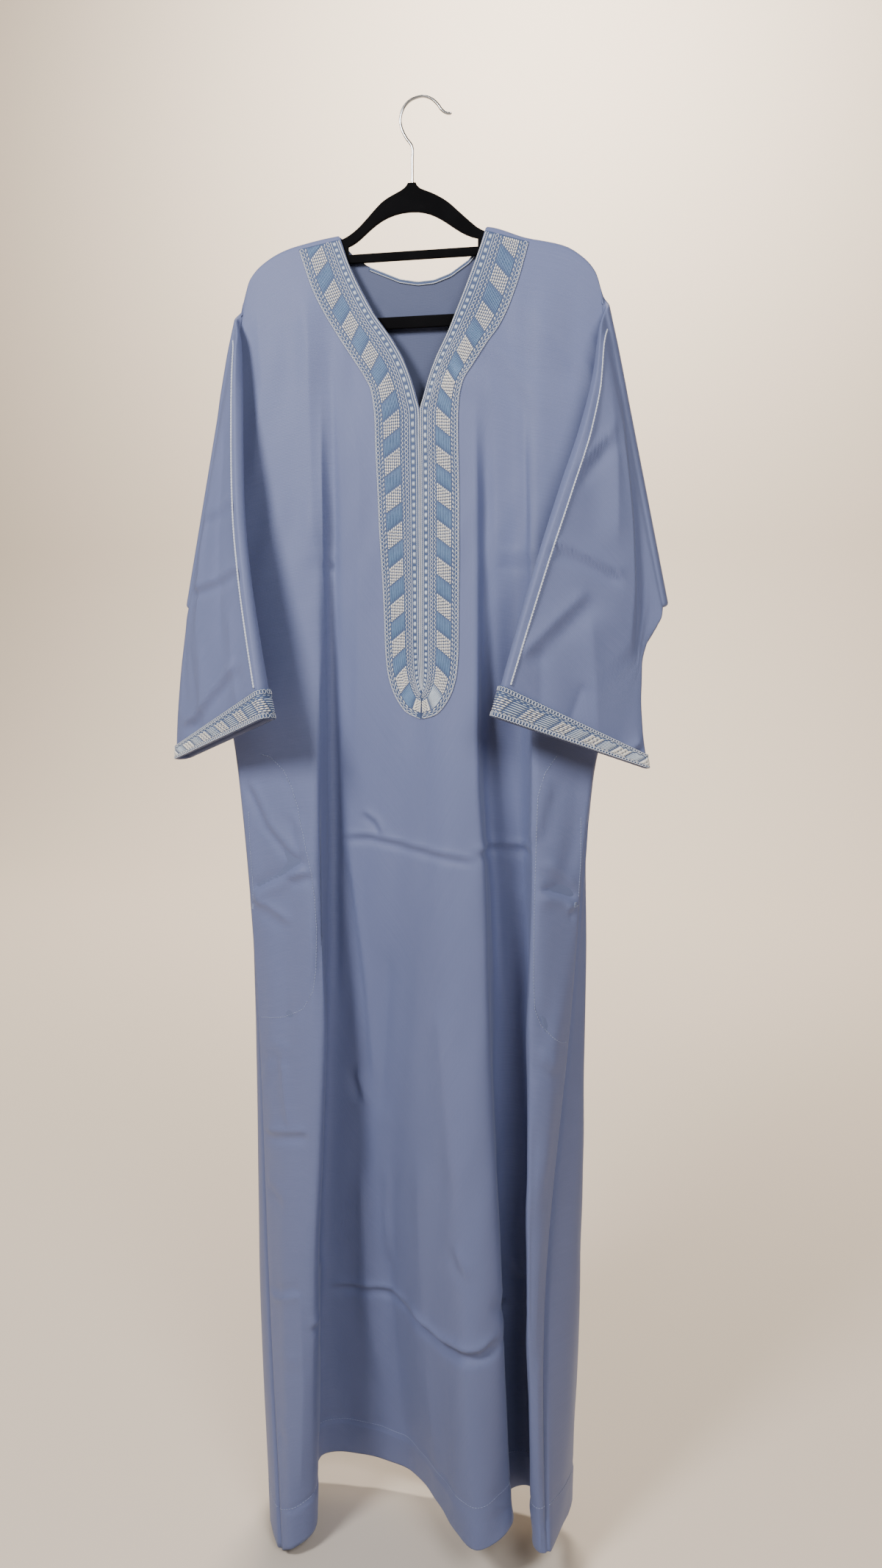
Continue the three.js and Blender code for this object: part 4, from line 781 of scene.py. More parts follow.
# %% Weave group
def weave_group():
    group, inside = new_group("plain_weave", [("Map", "Vector"), ("Threads per metre", "Float")])
    scaled = add_node(group, "VectorMath", {0: inside["Map"], "Scale": inside["Threads per metre"]},
                      operation="SCALE")
    weft, warp = (
        add_node(group, "TexWave", {"Vector": scaled[0], "Scale": 0.16, "Distortion": 0.5},
                 bands_direction=way)
        for way in "YX")
    stretched = add_node(group, "Mapping", {"Vector": scaled[0], "Scale": (0.012, 0.55, 1)})
    slub = add_node(group, "TexNoise",
                    {"Vector": stretched[0], "Scale": 1.0, "Detail": 3, "Roughness": 0.6})
    threads = add_node(group, "Math", {0: warp["Fac"], 1: 0.6, 2: weft["Fac"]}, operation="MULTIPLY_ADD")
    height = add_node(group, "Math", {0: slub["Fac"], 1: 1.6, 2: threads[0]}, operation="MULTIPLY_ADD")
    end_group(group, {"Height": height[0], "Slub": slub["Fac"]})
    return group


weave = weave_group()

# %% Cloth materials
def cloth_material(name, dark, light, roughness, threads=1100, bump=0.00012):
    """A woven cloth: its slubs and some broad patches shift the colour, its threads the relief."""
    material = new_material(name, {
        "Sheen Weight": 0.16, "Sheen Roughness": 0.45, "Sheen Tint": (0.75, 0.82, 1.0, 1),
        "Specular IOR Level": 0.35})
    tree = material.node_tree
    place = add_node(tree, "TexCoord")
    grain = add_node(tree, "Group", {"Map": place["UV"], "Threads per metre": threads}, node_tree=weave)
    patches = add_node(tree, "TexNoise", {"Vector": place["Object"], "Scale": 5, "Detail": 2})
    share = add_node(tree, "Math", {0: patches["Fac"], 1: 0.45}, operation="MULTIPLY")
    both = add_node(tree, "Math", {0: grain["Slub"], 1: 0.6, 2: share[0]}, operation="MULTIPLY_ADD")
    vary(material, both[0], dark, light, grain["Slub"], (roughness - 0.06, roughness + 0.08),
         grain["Height"], 0.5, bump)
    return material


blue_cloth = cloth_material("blue_cloth", (0.122, 0.150, 0.292), (0.176, 0.208, 0.385), 0.56)
# The inner side: the same blue painted about half as dark, as painted shade for the inside of the robe.
inner_painted_shade = cloth_material("inner_painted_shade", (0.066, 0.082, 0.16), (0.095, 0.115, 0.21), 0.66)
pocket_cloth = cloth_material("pocket_cloth", (0.11, 0.14, 0.26), (0.15, 0.18, 0.33), 0.7)
band_cloth = cloth_material("band_cloth", (0.045, 0.075, 0.17), (0.085, 0.125, 0.25), 0.62, 900, 0.0002)

# %% [markdown]
# ## Front and back
# Each is one length of cloth. They meet in the side seams, where the cloth rolls in
# between the lips and is drawn in by the thread, more so at the pocket slits, and at the
# shoulders over the hanger. The hem is turned up once, which shows as a faint step with
# a line of stitches above it. The side that faces the body is rougher, and its colour is
# painted about half as dark: painted shade for the inside of the robe, seen through the neck.

# %% Front and back cloth
CLOTH_WALL = 1.2
HEM_TURN = 47  # depth of the turned-up hem
HEM_STEP = 0.9
SEAM_PULL = 4.6
SLIT_PULL = 3.0  # more of it at the pocket slits
SLIT_MIDDLE, SLIT_HALF, SLIT_SOFT = -860, 60, 12
PULL_WIDTH = 3.2  # the pull dies away over this distance from the seam
PULL_SOFT = 60  # and grows over this one below the underarm
PULL_COLUMNS = 12
HEM_SOFT, STITCH_DIP, STITCH_WIDTH = 5, 1.5, 3.2  # the hem's step and the dip along its stitches
WAVES = 1.5  # height of the faint waves


def share_seams(front_grid, back_grid):
    """Below the underarms both panels end in the same places."""
    for end in (0, -1):
        seam = front_grid[:, end]
        low = back_grid[:, 0, 2] <= UNDERARM_Z
        order = np.argsort(seam[:, 2])
        back_grid[low, end, :2] = interpolate(back_grid[low, end, 2], seam[order, 2], seam[order, :2])


def pull_in_seams(front_grid, back_grid):
    """A side seam draws the cloth of both panels in by SEAM_PULL."""
    for end in (0, -1):
        ways = [grid_normals(front_grid, -1)[:, end], grid_normals(back_grid, 1)[:, end]]
        heights = [front_grid[:, end, 2], back_grid[:, end, 2]]
        for grid in (front_grid, back_grid):
            z = grid[:, end, 2]
            way = unit(sum(interpolate(-z, -h, w[:, :2]) for h, w in zip(heights, ways)))
            near = (grid if end == 0 else grid[:, ::-1])[:, :PULL_COLUMNS]
            deep = SEAM_PULL + SLIT_PULL * smooth_step((SLIT_HALF - np.abs(z - SLIT_MIDDLE)) / SLIT_SOFT)
            deep *= smooth_step((UNDERARM_Z - z) / PULL_SOFT)
            pull = np.exp(-(distances(near, 1) / PULL_WIDTH) ** 2) * deep[:, None]
            near[:, :, :2] -= way[:, None] * pull[:, :, None]


def hem_relief(grid, hem):
    """The doubled cloth of the hem stands out a little, with a dip along its stitches."""
    above = grid[:, :, 2] - hem
    dip = STITCH_DIP * np.exp(-((above - HEM_TURN) / STITCH_WIDTH) ** 2)
    return HEM_STEP * smooth_step((HEM_TURN - above) / HEM_SOFT) - dip


def dressed_grid(grid, outward, creases, seed, hem):
    """A panel's grid with its creases, waves and hem, which fade towards its edges."""
    edge = fade_in(grid.shape[1], 3, 8)[None, :]
    down = smooth_step((np.arange(grid.shape[0]) - 3) / 12)[:, None]
    height = crease_height(grid[:, :, [0, 2]], creases)
    height += faint_waves(distances(grid, 1), grid[:, :, 2], seed, WAVES)
    height = height * edge * down + hem_relief(grid, hem) * edge
    return grid + grid_normals(grid, outward) * height[:, :, None]


front_shares = front.even_shares(-1050, 172)
back_shares = back.even_shares(-1050, 106)
front_levels = level_rows(9, [(-1452, -1368, 3), (-945, -770, 3.4), (-1212, -1172, 3.4)])
back_levels = level_rows(11, [(-1425, -1395, 4), (-840, -820, 4)])
front_grid = panel_grid(front, front_shares, FRONT_NECK, 36, front_levels, 20)
back_grid = panel_grid(back, back_shares, BACK_NECK, 24, back_levels, 12)
share_seams(front_grid, back_grid)
front_grid = dressed_grid(front_grid, -1, FRONT_CREASES, 3, front.hem_height(front_shares))
back_grid = dressed_grid(back_grid, 1, BACK_CREASES, 8, back.hem_height(back_shares))
pull_in_seams(front_grid, back_grid)

front_cloth = new_sheet("front_cloth", front_grid, grid_normals(front_grid, -1), blue_cloth)
back_cloth = new_sheet("back_cloth", back_grid, grid_normals(back_grid, 1), blue_cloth)
belongs(front_cloth, "cloth", "front_panel")
belongs(back_cloth, "cloth", "back_panel")

# %% [markdown]
# ## Feeling for the cloth
# The trimmings lie on the front, so their places need its depth. A ray sent straight back
# from the viewer finds it. The search tree is made from the front before it gets its wall.

# %% Depth of the front
VIEWER_Y = -400  # the rays start here
RAY_STEP = 2.5
CHEST_X = np.arange(-155, 131, RAY_STEP)
CHEST_Z = np.arange(-700, -138, RAY_STEP)

front_tree = BVHTree.FromPolygons(
    [Vector(p) for p in front_grid.reshape(-1, 3)], grid_faces(*front_grid.shape[:2]).tolist())
# The inner sides of front and back get the material with the painted shade.
give_wall(front_cloth, CLOTH_WALL, inner_painted_shade)
give_wall(back_cloth, CLOTH_WALL, inner_painted_shade)


def on_front(x, z):
    """Place and normal of the front that faces the viewer at x, z, or None."""
    place, normal = front_tree.ray_cast(Vector((x, VIEWER_Y, z)), Vector((0, 1, 0)))[:2]
    if place is None:
        return None
    return np.array(place), np.array(normal) * (-1 if normal.y > 0 else 1)


chest_depth = np.full((len(CHEST_Z), len(CHEST_X)), np.nan)
for r, z in enumerate(CHEST_Z):
    for c, x in enumerate(CHEST_X):
        hit = on_front(x, z)
        if hit is not None:
            chest_depth[r, c] = hit[0][1]
    found = ~np.isnan(chest_depth[r])
    if found.any():
        chest_depth[r] = np.interp(CHEST_X, CHEST_X[found], chest_depth[r][found])
    else:
        chest_depth[r] = -CAP_RADIUS
print("chest depth from", chest_depth.min(), "to", chest_depth.max())


def cloth_depth(x, z):
    """Depth of the chest at places x, z, between the rays."""
    c = np.clip((x - CHEST_X[0]) / RAY_STEP, 0, len(CHEST_X) - 1.001)
    r = np.clip((z - CHEST_Z[0]) / RAY_STEP, 0, len(CHEST_Z) - 1.001)
    return bilinear(chest_depth, r, c)


# %% [markdown]
# ## Sleeves
# The sleeves are wide, flat tubes. Each is sewn into the straight armhole, turns forward
# over the edge of the body and hangs slantwise across its front. So the first stations
# of the tube swing round a line beside the armhole, and the rest follow a table of the
# upper and the under edge. The top slopes down as it turns, and the layer in front is
# pressed thin there, so the shoulder runs on into the sleeve. One soft fold runs down
# the layer that faces the viewer.

# %% Sleeve shapes
FOLD_PIVOT = 5.6
TURN_STEPS = 19  # stations while the tube turns forward over the armhole
EDGE_RADIUS = 4.4  # the upper and the under edge are round
EDGE_STEPS = 6
FOLD_HALF = 0.05  # half width of the soft fold, as a share of the tube's width
SLEEVE_STEP = 3.6
TOP_DROP = 25  # the sleeve's top slopes down by this much as it turns forward
TOP_SOFT = 70  # the layer in front thins out over this distance below the top
TURN_SHIFT = 0.35  # the turning tube leaves the armhole by this share of the pivot's radius
FIRST_FOLD = 0.3  # place of the soft fold while the tube turns
FACING_LENGTH = 40  # the tube's own direction takes over in this length


class Sleeve:
    """A sleeve's edges and sizes: side is -1 for the left one, 1 for the right one."""

    def __init__(self, tip, underarm, rows, side):
        armhole = unit((underarm[0] - tip[0], 0, underarm[1] - tip[1]))
        outward = np.array([-armhole[2], 0, armhole[0]]) * side
        outward *= 1 if outward[0] * side > 0 else -1
        turn = np.radians(np.linspace(0, 180, TURN_STEPS))
        shift = outward * (FOLD_PIVOT * np.sin(turn) + HALF_SEAM)[:, None]
        shift[:, 1] += FOLD_PIVOT * (np.cos(turn) - 1)
        self.fold_facing = outward * np.sin(turn)[:, None]
        self.fold_facing[:, 1] += np.cos(turn)
        slope = armhole * (TOP_DROP * np.sqrt(turn / math.pi))[:, None]
        shift[:, ::2] *= TURN_SHIFT
        self.fold_upper = np.array([tip[0], 0, tip[1]]) + shift + slope
        self.fold_under = np.array([underarm[0], 0, underarm[1]]) + shift
        self.fold_front = CAP_RADIUS + np.maximum(0, np.degrees(turn) - 90) / 45
        upper = np.vstack([self.fold_upper[-1], [row[0] for row in rows]])
        under = np.vstack([self.fold_under[-1], [row[1] for row in rows]])
        self.fold_sizes = np.tile([CAP_RADIUS, 0, CAP_RADIUS, FIRST_FOLD], (TURN_STEPS, 1))
        self.fold_sizes[:, 1] = self.fold_front
        sizes = np.vstack([self.fold_sizes[-1], [row[2:] for row in rows]])
        self.keys = distances((upper + under) / 2)
        self.table = np.hstack([upper, under, sizes])
        self.length = self.keys[-1]
        self.top = tip[1]

    def stations(self, at):
        """Upper edge, under edge, facing and sizes at distances down the hanging part."""
        at = np.asarray(at, float)
        values = smooth_columns(self.keys, self.table, at)
        ahead, behind = (smooth_columns(self.keys, self.table[:, :6], at + way) for way in (2, -2))
        along = (ahead[:, :3] + ahead[:, 3:]) - (behind[:, :3] + behind[:, 3:])
        facing = unit(np.cross(along, values[:, 3:6] - values[:, :3]))
        facing *= np.where(facing[:, 1] > 0, -1, 1)[:, None]
        start = smooth_step(at / FACING_LENGTH)[:, None]
        facing = unit(facing * start + np.array([0, -1, 0]) * (1 - start))
        return values[:, :3], values[:, 3:6], facing, values[:, 6:]

    def all_stations(self):
        """The stations of the turn and those of the hanging part."""
        at = np.linspace(0, self.length, int(self.length / SLEEVE_STEP))[1:]
        turning = (self.fold_upper, self.fold_under, self.fold_facing, self.fold_sizes)
        return [np.vstack(both) for both in zip(turning, self.stations(at))]


def sleeve_rings(upper, under, facing, sizes, top):
    """Rings of places round a sleeve, and which of them face the viewer. top is the tip's height."""
    width = np.linalg.norm(under - upper, axis=1)[:, None]
    chord = (under - upper) / width
    back_half, front_half, wing_half, fold = (sizes[:, k][:, None] for k in range(4))
    round_edge = EDGE_RADIUS * (1 - np.cos(np.radians(np.linspace(0, 90, EDGE_STEPS))))[None, :]
    ones = np.ones_like(width)
    before, after = (fold - FOLD_HALF) * width, (fold + FOLD_HALF) * width
    even = np.linspace(0, 1, 30)[None, 1:-1]
    seen = np.hstack([
        round_edge * ones, EDGE_RADIUS + (before - EDGE_RADIUS) * even,
        before + (after - before) * np.linspace(0, 1, 8)[None],
        after + (width - EDGE_RADIUS - after) * even, width - round_edge[:, ::-1] * ones,
    ])
    hidden = np.hstack([
        width - round_edge[:, 1:] * ones,
        width - EDGE_RADIUS - (width - 2 * EDGE_RADIUS) * np.linspace(0, 1, 24)[None, 1:-1],
        round_edge[:, :0:-1] * ones,
    ])
    place = np.hstack([seen, hidden])
    faces_viewer = np.arange(place.shape[1]) < seen.shape[1]
    step = smooth_step((place / width - fold) / (2 * FOLD_HALF) + 0.5)
    half = np.where(faces_viewer, front_half + (wing_half - front_half) * step, back_half)
    below_top = top - (upper[:, None, 2] + chord[:, None, 2] * place)
    turned = smooth_step((1 - facing[:, None, 1]) / 2)
    thin = 1 - 0.5 * turned * smooth_step(1 - below_top / TOP_SOFT)
    half = half * np.where(faces_viewer, thin, 1)
    radius = np.minimum(EDGE_RADIUS, half)
    close = np.clip(np.minimum(place, width - place) / radius, 0, 1)
    stand = np.where(faces_viewer, 1, -1) * half * np.sqrt(1 - (1 - close) ** 2)
    rings = upper[:, None] + chord[:, None] * place[:, :, None] + facing[:, None] * stand[:, :, None]
    return rings, faces_viewer


def ring_normals(rings, centre):
    """Outward normals of rings round their centres."""
    across = np.roll(rings, -1, axis=1) - np.roll(rings, 1, axis=1)
    down = np.gradient(rings, axis=0)
    normals = unit(np.cross(across, down) + 1e-9)
    out = np.sum(normals * (rings - centre[:, None]), axis=2).mean()
    return normals * (1 if out > 0 else -1)


# %% Sleeves
SLEEVE_ROUND = 340  # the waves count this as the way round a sleeve
SLEEVE_WAVES = 0.8


def make_sleeve(side, creases, seed):
    """A sleeve with creases on the layer that faces the viewer, and its grid."""
    sleeve = sleeves[side]
    upper, under, facing, sizes = sleeve.all_stations()
    rings, seen = sleeve_rings(upper, under, facing, sizes, sleeve.top)
    normals = ring_normals(rings, (upper + under) / 2)
    rows = np.arange(len(rings))
    fade = smooth_step((rows - 20) / 18) * smooth_step((len(rings) - 1 - rows) / 11)
    edge = np.zeros(rings.shape[1])
    edge[: seen.sum()] = fade_in(seen.sum(), 4, 5)
    around = np.linspace(0, SLEEVE_ROUND, rings.shape[1])[None] + 0 * rings[:, :, 2]
    height = crease_height(rings[:, :, [0, 2]], creases)
    height += faint_waves(around, rings[:, :, 2], seed, SLEEVE_WAVES)
    rings = rings + normals * (height * fade[:, None] * edge)[:, :, None]
    piece = new_sheet(f"sleeve_{side}_cloth", rings, normals, blue_cloth, closed=True)
    give_wall(piece, CLOTH_WALL)
    belongs(piece, "cloth", f"sleeve_{side}")
    return piece, rings


SIDES = ("left", "right")
sleeves = {"left": Sleeve(LEFT_TIP, LEFT_UNDERARM, LEFT_SLEEVE_ROWS, -1),
           "right": Sleeve(RIGHT_TIP, RIGHT_UNDERARM, RIGHT_SLEEVE_ROWS, 1)}
sleeve_cloths, sleeve_grids = {}, {}
for side, creases, seed in (("left", LEFT_SLEEVE_CREASES, 21), ("right", RIGHT_SLEEVE_CREASES, 34)):
    sleeve_cloths[side], sleeve_grids[side] = make_sleeve(side, creases, seed)

# %% [markdown]
# ## Thread
# The embroidery is worked in thick, shiny rayon: cream, two blues and a silver grey. A
# twisted thread shows fine slanting lines, so one node group turns the map of a strand,
# its share round and its distance along, into that twist.

# %% Thread materials
def twist_group():
    group, inside = new_group("thread_twist", [("Map", "Vector"), ("Turns", "Vector")])
    slant = add_node(group, "VectorMath", {0: inside["Map"], 1: inside["Turns"]}, operation="DOT_PRODUCT")
    wave = add_node(group, "Math", {0: slant["Value"]}, operation="SINE")
    end_group(group, {"Height": wave[0]})
    return group


twist = twist_group()


def thread_material(name, dark, light, roughness):
    """A shiny thread: its twist and some small spots shift the colour."""
    material = new_material(name, {"Sheen Weight": 0.2, "Sheen Roughness": 0.4})
    tree = material.node_tree
    place = add_node(tree, "TexCoord")
    lines = add_node(tree, "Group", {"Map": place["UV"], "Turns": (19, 5200, 0)}, node_tree=twist)
    spots = add_node(tree, "TexNoise", {"Vector": place["Object"], "Scale": 260, "Detail": 2})
    share = add_node(tree, "Math", {0: lines["Height"], 1: 0.12, 2: spots["Fac"]}, operation="MULTIPLY_ADD")
    vary(material, share[0], dark, light, spots["Fac"], (roughness - 0.08, roughness + 0.08),
         lines["Height"], 0.4, 0.0001)
    return material


THREADS = [
    thread_material("cream_thread", (0.93, 0.89, 0.80), (1.0, 0.98, 0.93), 0.36),
    thread_material("blue_thread", (0.115, 0.215, 0.40), (0.22, 0.36, 0.60), 0.40),
    thread_material("pale_thread", (0.52, 0.62, 0.76), (0.80, 0.88, 0.96), 0.42),
    thread_material("silver_thread", (0.52, 0.58, 0.70), (0.90, 0.93, 0.99), 0.36),
    thread_material("seam_thread", (0.22, 0.27, 0.46), (0.40, 0.46, 0.66), 0.5),
]
CREAM, BLUE, PALE, SILVER, SEAM = range(5)

# %% [markdown]
# ## Laying stitches
# A stitch is a short strand that lies on the cloth and dips in at both ends. Thousands
# are needed, so a stitch is a low tube of a few faces, and one helper lays any number of
# them at once. The patch of cloth that they lie on is a grid, which is read between its
# places by the distance along the band and the share across it.

# %% Stitch helpers
LOOP_STEPS = 10  # places round one loop of a chain
LIFT = 0.35  # the middle of a stitch above the cloth
END_DIP, END_TAPER = 0.5, 0.75  # the ends go into the cloth, and are thinner than the middle
ROPE_LIFT, ROPE_OVERLAP = 0.45, 1.7  # each stitch of a rope is longer than the pitch
LOOP_LIFT, LOOP_DIP = 0.42, 0.28  # a loop of a chain rises over the one before


class Patch:
    """A strip of cloth for stitches, read by the distance along it and the share across."""

    def __init__(self, grid, normals, along, across, closed=False):
        self.grid, self.normals, self.closed = grid, normals, closed
        self.along, self.across = np.asarray(along, float), np.asarray(across, float)
        self.length = self.along[-1]

    def at(self, along, across, lift=0.0):
        """Places and normals at distances along and shares across."""
        along, across = np.broadcast_arrays(np.asarray(along, float), np.asarray(across, float))
        if self.closed:
            along = np.mod(along, self.length)
        r = np.interp(along, self.along, np.arange(len(self.along)))
        c = np.interp(across, self.across, np.arange(len(self.across)))
        normals = unit(bilinear(self.normals, r, c))
        return bilinear(self.grid, r, c) + normals * np.asarray(lift)[..., None], normals


class Stitchwork:
    """Gathers strands, and makes them one piece at the end."""

    def __init__(self):
        self.places, self.faces, self.map, self.slots, self.count = [], [], [], [], 0

    def strands(self, paths, normals, width, height, profile, slot, sides=5, closed=False):
        """Tubes along paths (strands, steps, 3), as wide as width times profile."""
        strands, steps = paths.shape[:2]
        if closed:
            tangents = unit(np.roll(paths, -1, axis=1) - np.roll(paths, 1, axis=1))
        else:
            tangents = unit(np.gradient(paths, axis=1))
        side = unit(np.cross(normals, tangents))
        up = np.cross(tangents, side)
        turn = np.arange(sides) * 2 * math.pi / sides
        size = np.asarray(profile, float)[None, :, None, None] / 2
        places = (
            paths[:, :, None]
            + side[:, :, None] * np.cos(turn)[None, None, :, None] * width * size
            + up[:, :, None] * np.sin(turn)[None, None, :, None] * height * size
        )
        uv = np.zeros(places.shape[:3] + (2,))
        uv[..., 0] = np.arange(sides) / sides
        uv[..., 1] = distances(paths, 1)[:, :, None] * MM
        one = []
        for k in range(steps if closed else steps - 1):
            after = (k + 1) % steps
            for j in range(sides):
                n = (j + 1) % sides
                one.append((k * sides + j, k * sides + n, after * sides + n, after * sides + j))
        if not closed:
            one += [tuple(range(sides))[::-1], tuple((steps - 1) * sides + j for j in range(sides))]
        each = steps * sides
        for s in range(strands):
            base = self.count + s * each
            self.faces += [tuple(base + i for i in face) for face in one]
        self.slots += [slot] * (strands * len(one))
        self.places.append(places.reshape(-1, 3))
        self.map.append(uv.reshape(-1, 2))
        self.count += strands * each

    def stitches(self, patch, starts, ends, width, height, slot, lift=LIFT, steps=4):
        """Single stitches from starts to ends, both as along, across."""
        starts, ends = np.asarray(starts, float), np.asarray(ends, float)
        share = np.linspace(0, 1, steps)[None, :, None]
        spots = starts[:, None] * (1 - share) + ends[:, None] * share
        rise = lift - END_DIP * (2 * share[..., 0] - 1) ** 4 + 0 * spots[..., 0]
        places, normals = patch.at(spots[..., 0], spots[..., 1], rise)
        profile = 1 - END_TAPER * np.abs(2 * share[0, :, 0] - 1) ** 3
        self.strands(places, normals, width, height, profile, slot)

    def rope(self, patch, slot, start, across, wide, pitch, width, lean=1):
        """A twisted rope: slanting stitches one after another."""
        s = np.arange(start, patch.length - 1.4 * pitch, pitch)
        half = lean * wide / 2
        self.stitches(patch, np.stack([s, np.full_like(s, across - half)], 1),
                      np.stack([s + ROPE_OVERLAP * pitch, np.full_like(s, across + half)], 1),
                      width, width * 0.9, slot, ROPE_LIFT, 3)

    def running(self, patch, slot, start, across, stitch, pitch, width, lift=LIFT):
        """A row of single stitches."""
        s = np.arange(start, patch.length - stitch, pitch)
        a = np.full_like(s, across)
        self.stitches(patch, np.stack([s, a], 1), np.stack([s + stitch, a], 1), width, 0.8, slot, lift)

    def chain(self, patch, slot, start, across, long, wide, pitch, thick):
        """Linked oval loops."""
        s = np.arange(start + long / 2, patch.length - long / 2, pitch)
        turn = np.linspace(0, 2 * math.pi, LOOP_STEPS + 1)[:-1]
        along = s[:, None] + np.cos(turn)[None] * long / 2
        side = across + np.sin(turn)[None] * wide / 2 + 0 * along
        lift = LOOP_LIFT + LOOP_DIP * np.cos(turn)[None] + 0 * along
        places, normals = patch.at(along, side, lift)
        self.strands(places, normals, thick, thick * 0.85, np.ones(LOOP_STEPS), slot, 4, True)

    def rows(self, patch, rows, lean=1):
        """Whole rows from a table; lean is the way in which the ropes are twisted."""
        for kind, *row in rows:
            if kind == "rope":
                self.rope(patch, *row, lean)
            elif kind == "chain":
                self.chain(patch, *row)
            else:
                self.running(patch, *row)

    def finish(self, name):
        """The piece of all the strands so far."""
        piece = new_piece(name, np.vstack(self.places), self.faces, THREADS,
                          np.vstack(self.map), self.slots)
        print(name, "faces:", len(self.faces))
        belongs(piece, "embroidery")
        return piece


# %% [markdown]
# ## The embroidered bands of the neck
# The two bands start at the shoulders, come together under the V and end in a round tip
# on the chest. Each is first a strip of dense, dark ground cloth a little proud of the
# robe, then stitches: from the open edge outwards a rope, a fine cord, a row of pale
# squares, another cord, a linked chain, running stitches, the broad row of slanting cream
# and blue blocks, running stitches again, and a chain at the outer edge. A picture of the
# pattern could be painted on, but stitches that stand up catch the light as real ones do.

# %% Band grounds
BAND_RISE = 1.3  # the ground's top above the cloth
BAND_WALL = 0.8
BAND_ACROSS = np.linspace(0, 1, 41)
BAND_STEP = 1.5
BLOCK_MIDDLE = 0.615  # share across the band of the middle of the blocks
EDGE_DIP, DIP_WIDTH = 0.7, 0.012  # the ground goes down at its edges


def band_patch(stations):
    """The top of a band's ground, in even steps along the middle of its blocks."""
    stations = np.array(stations, float)
    fine = np.linspace(0, len(stations) - 1, 1200)
    edges = smooth_columns(np.arange(len(stations)), stations, fine)
    length = distances(edges[:, :2] + (edges[:, 2:] - edges[:, :2]) * BLOCK_MIDDLE)
    along = np.linspace(0, length[-1], int(length[-1] / BAND_STEP))
    edges = interpolate(along, length, edges)
    across = BAND_ACROSS[None]
    x = edges[:, :1] + (edges[:, 2:3] - edges[:, :1]) * across
    z = edges[:, 1:2] + (edges[:, 3:] - edges[:, 1:2]) * across
    y = cloth_depth(x, z) - BAND_RISE
    y += EDGE_DIP * np.exp(-np.minimum(across, 1 - across) / DIP_WIDTH)
    grid = np.stack([x, y, z], axis=2)
    normals = grid_normals(grid, 1)
    normals *= np.where(normals[:, :, 1:2] > 0, -1, 1)
    return Patch(grid, normals, along, BAND_ACROSS)


def ground(name, grid, normals, wall, node, closed=False):
    """The dark ground cloth under a band's stitches."""
    piece = new_sheet(name, grid, normals, band_cloth, closed)
    give_wall(piece, wall)
    belongs(piece, "embroidery", node)
    return piece


bands = {"left": band_patch(LEFT_BAND), "right": band_patch(RIGHT_BAND)}
for side, patch in bands.items():
    ground(
        f"band_{side}_ground", patch.grid, patch.normals, BAND_WALL, f"neck_band_{side}")
    print(side, "band:", round(patch.length), "mm long")

# %% [markdown]
# ## Blocks of satin stitch
# The blocks alternate cream and blue. Cream ones are worked as eight columns of short
# stitches, blue ones as eleven long cords side by side. Their ends rise towards the
# middle of the chest, less and less towards the tip, where they become wedges.

# %% Stitches of the bands
BLOCK_LONG = 20.8
BLOCK_SLANT = 12.5  # how much lower a block ends at its outer edge than at its inner one
BLOCK_FROM, BLOCK_TO = 0.43, 0.80
WEDGES_FROM = 70  # mm before the tip
CREAM_COLUMNS, BLUE_COLUMNS = 8, 11
CREAM_STITCH = 3.2
CREAM_SHIFT = 1.4  # every second column is worked this much further down
BLOCK_GAP = 0.3  # each block stops this far before its edge
SHORTEST = 2.5

# Rows of a band: the kind of stitch, its thread, its start in mm, its share across, and its
# sizes. A rope has its width across, its pitch and the width of its thread. Running
# stitches have their length, pitch, width and, if it isn't LIFT, their lift. A chain has
# the length and width of a loop, its pitch and the width of its thread.
BAND_ROWS = [
    ("rope", SILVER, 0.5, 0.022, 0.034, 2.4, 1.4),
    ("rope", SILVER, 0.5, 0.075, 0.010, 2.6, 1.0),
    ("rope", SILVER, 0.5, 0.217, 0.010, 2.6, 1.0),
    ("running", PALE, 2.0, 0.125, 5.6, 8.0, 1.15, 0.4),
    ("running", PALE, 2.0, 0.146, 5.6, 8.0, 1.15, 0.4),
    ("running", PALE, 2.0, 0.167, 5.6, 8.0, 1.15, 0.4),
    ("chain", SILVER, 0.5, 0.292, 4.6, 0.066, 4.7, 0.75),
    ("running", CREAM, 1.0, 0.372, 3.4, 4.8, 1.0),
    ("running", PALE, 3.2, 0.398, 3.4, 4.8, 0.8),
    ("running", CREAM, 1.0, 0.835, 3.6, 5.0, 1.1),
    ("running", PALE, 2.6, 0.862, 3.2, 5.0, 0.8),
    ("chain", SILVER, 0.5, 0.932, 4.6, 0.070, 4.7, 0.75),
    ("rope", SILVER, 0.5, 0.984, 0.012, 2.6, 0.9),
]
CREAM_SIZE = (1.85, 1.4)  # width and height of a stitch
BLUE_SIZE = (1.25, 1.15)


def block_edge(patch, number, across):
    """Distance along the band of the start of a block, counted back from the tip."""
    middle = patch.length + BLOCK_LONG / 2 - BLOCK_LONG * number
    lean = BLOCK_SLANT * smooth_step((patch.length - middle) / WEDGES_FROM)
    return middle + lean * (across - BLOCK_MIDDLE) / (BLOCK_TO - BLOCK_FROM)


def cream_column(work, patch, low, high, across, count, shift, size):
    """One cream column: short stitches in line, with the inner cuts moved by shift."""
    cuts = np.linspace(low, high, count + 1)
    if count > 1:
        cuts[1:-1] += shift
    starts, ends = (np.stack([cut, np.full(count, across)], 1) for cut in (cuts[:-1] + 0.1, cuts[1:] - 0.1))
    work.stitches(patch, starts, ends, *size, CREAM, 0.5, 4)


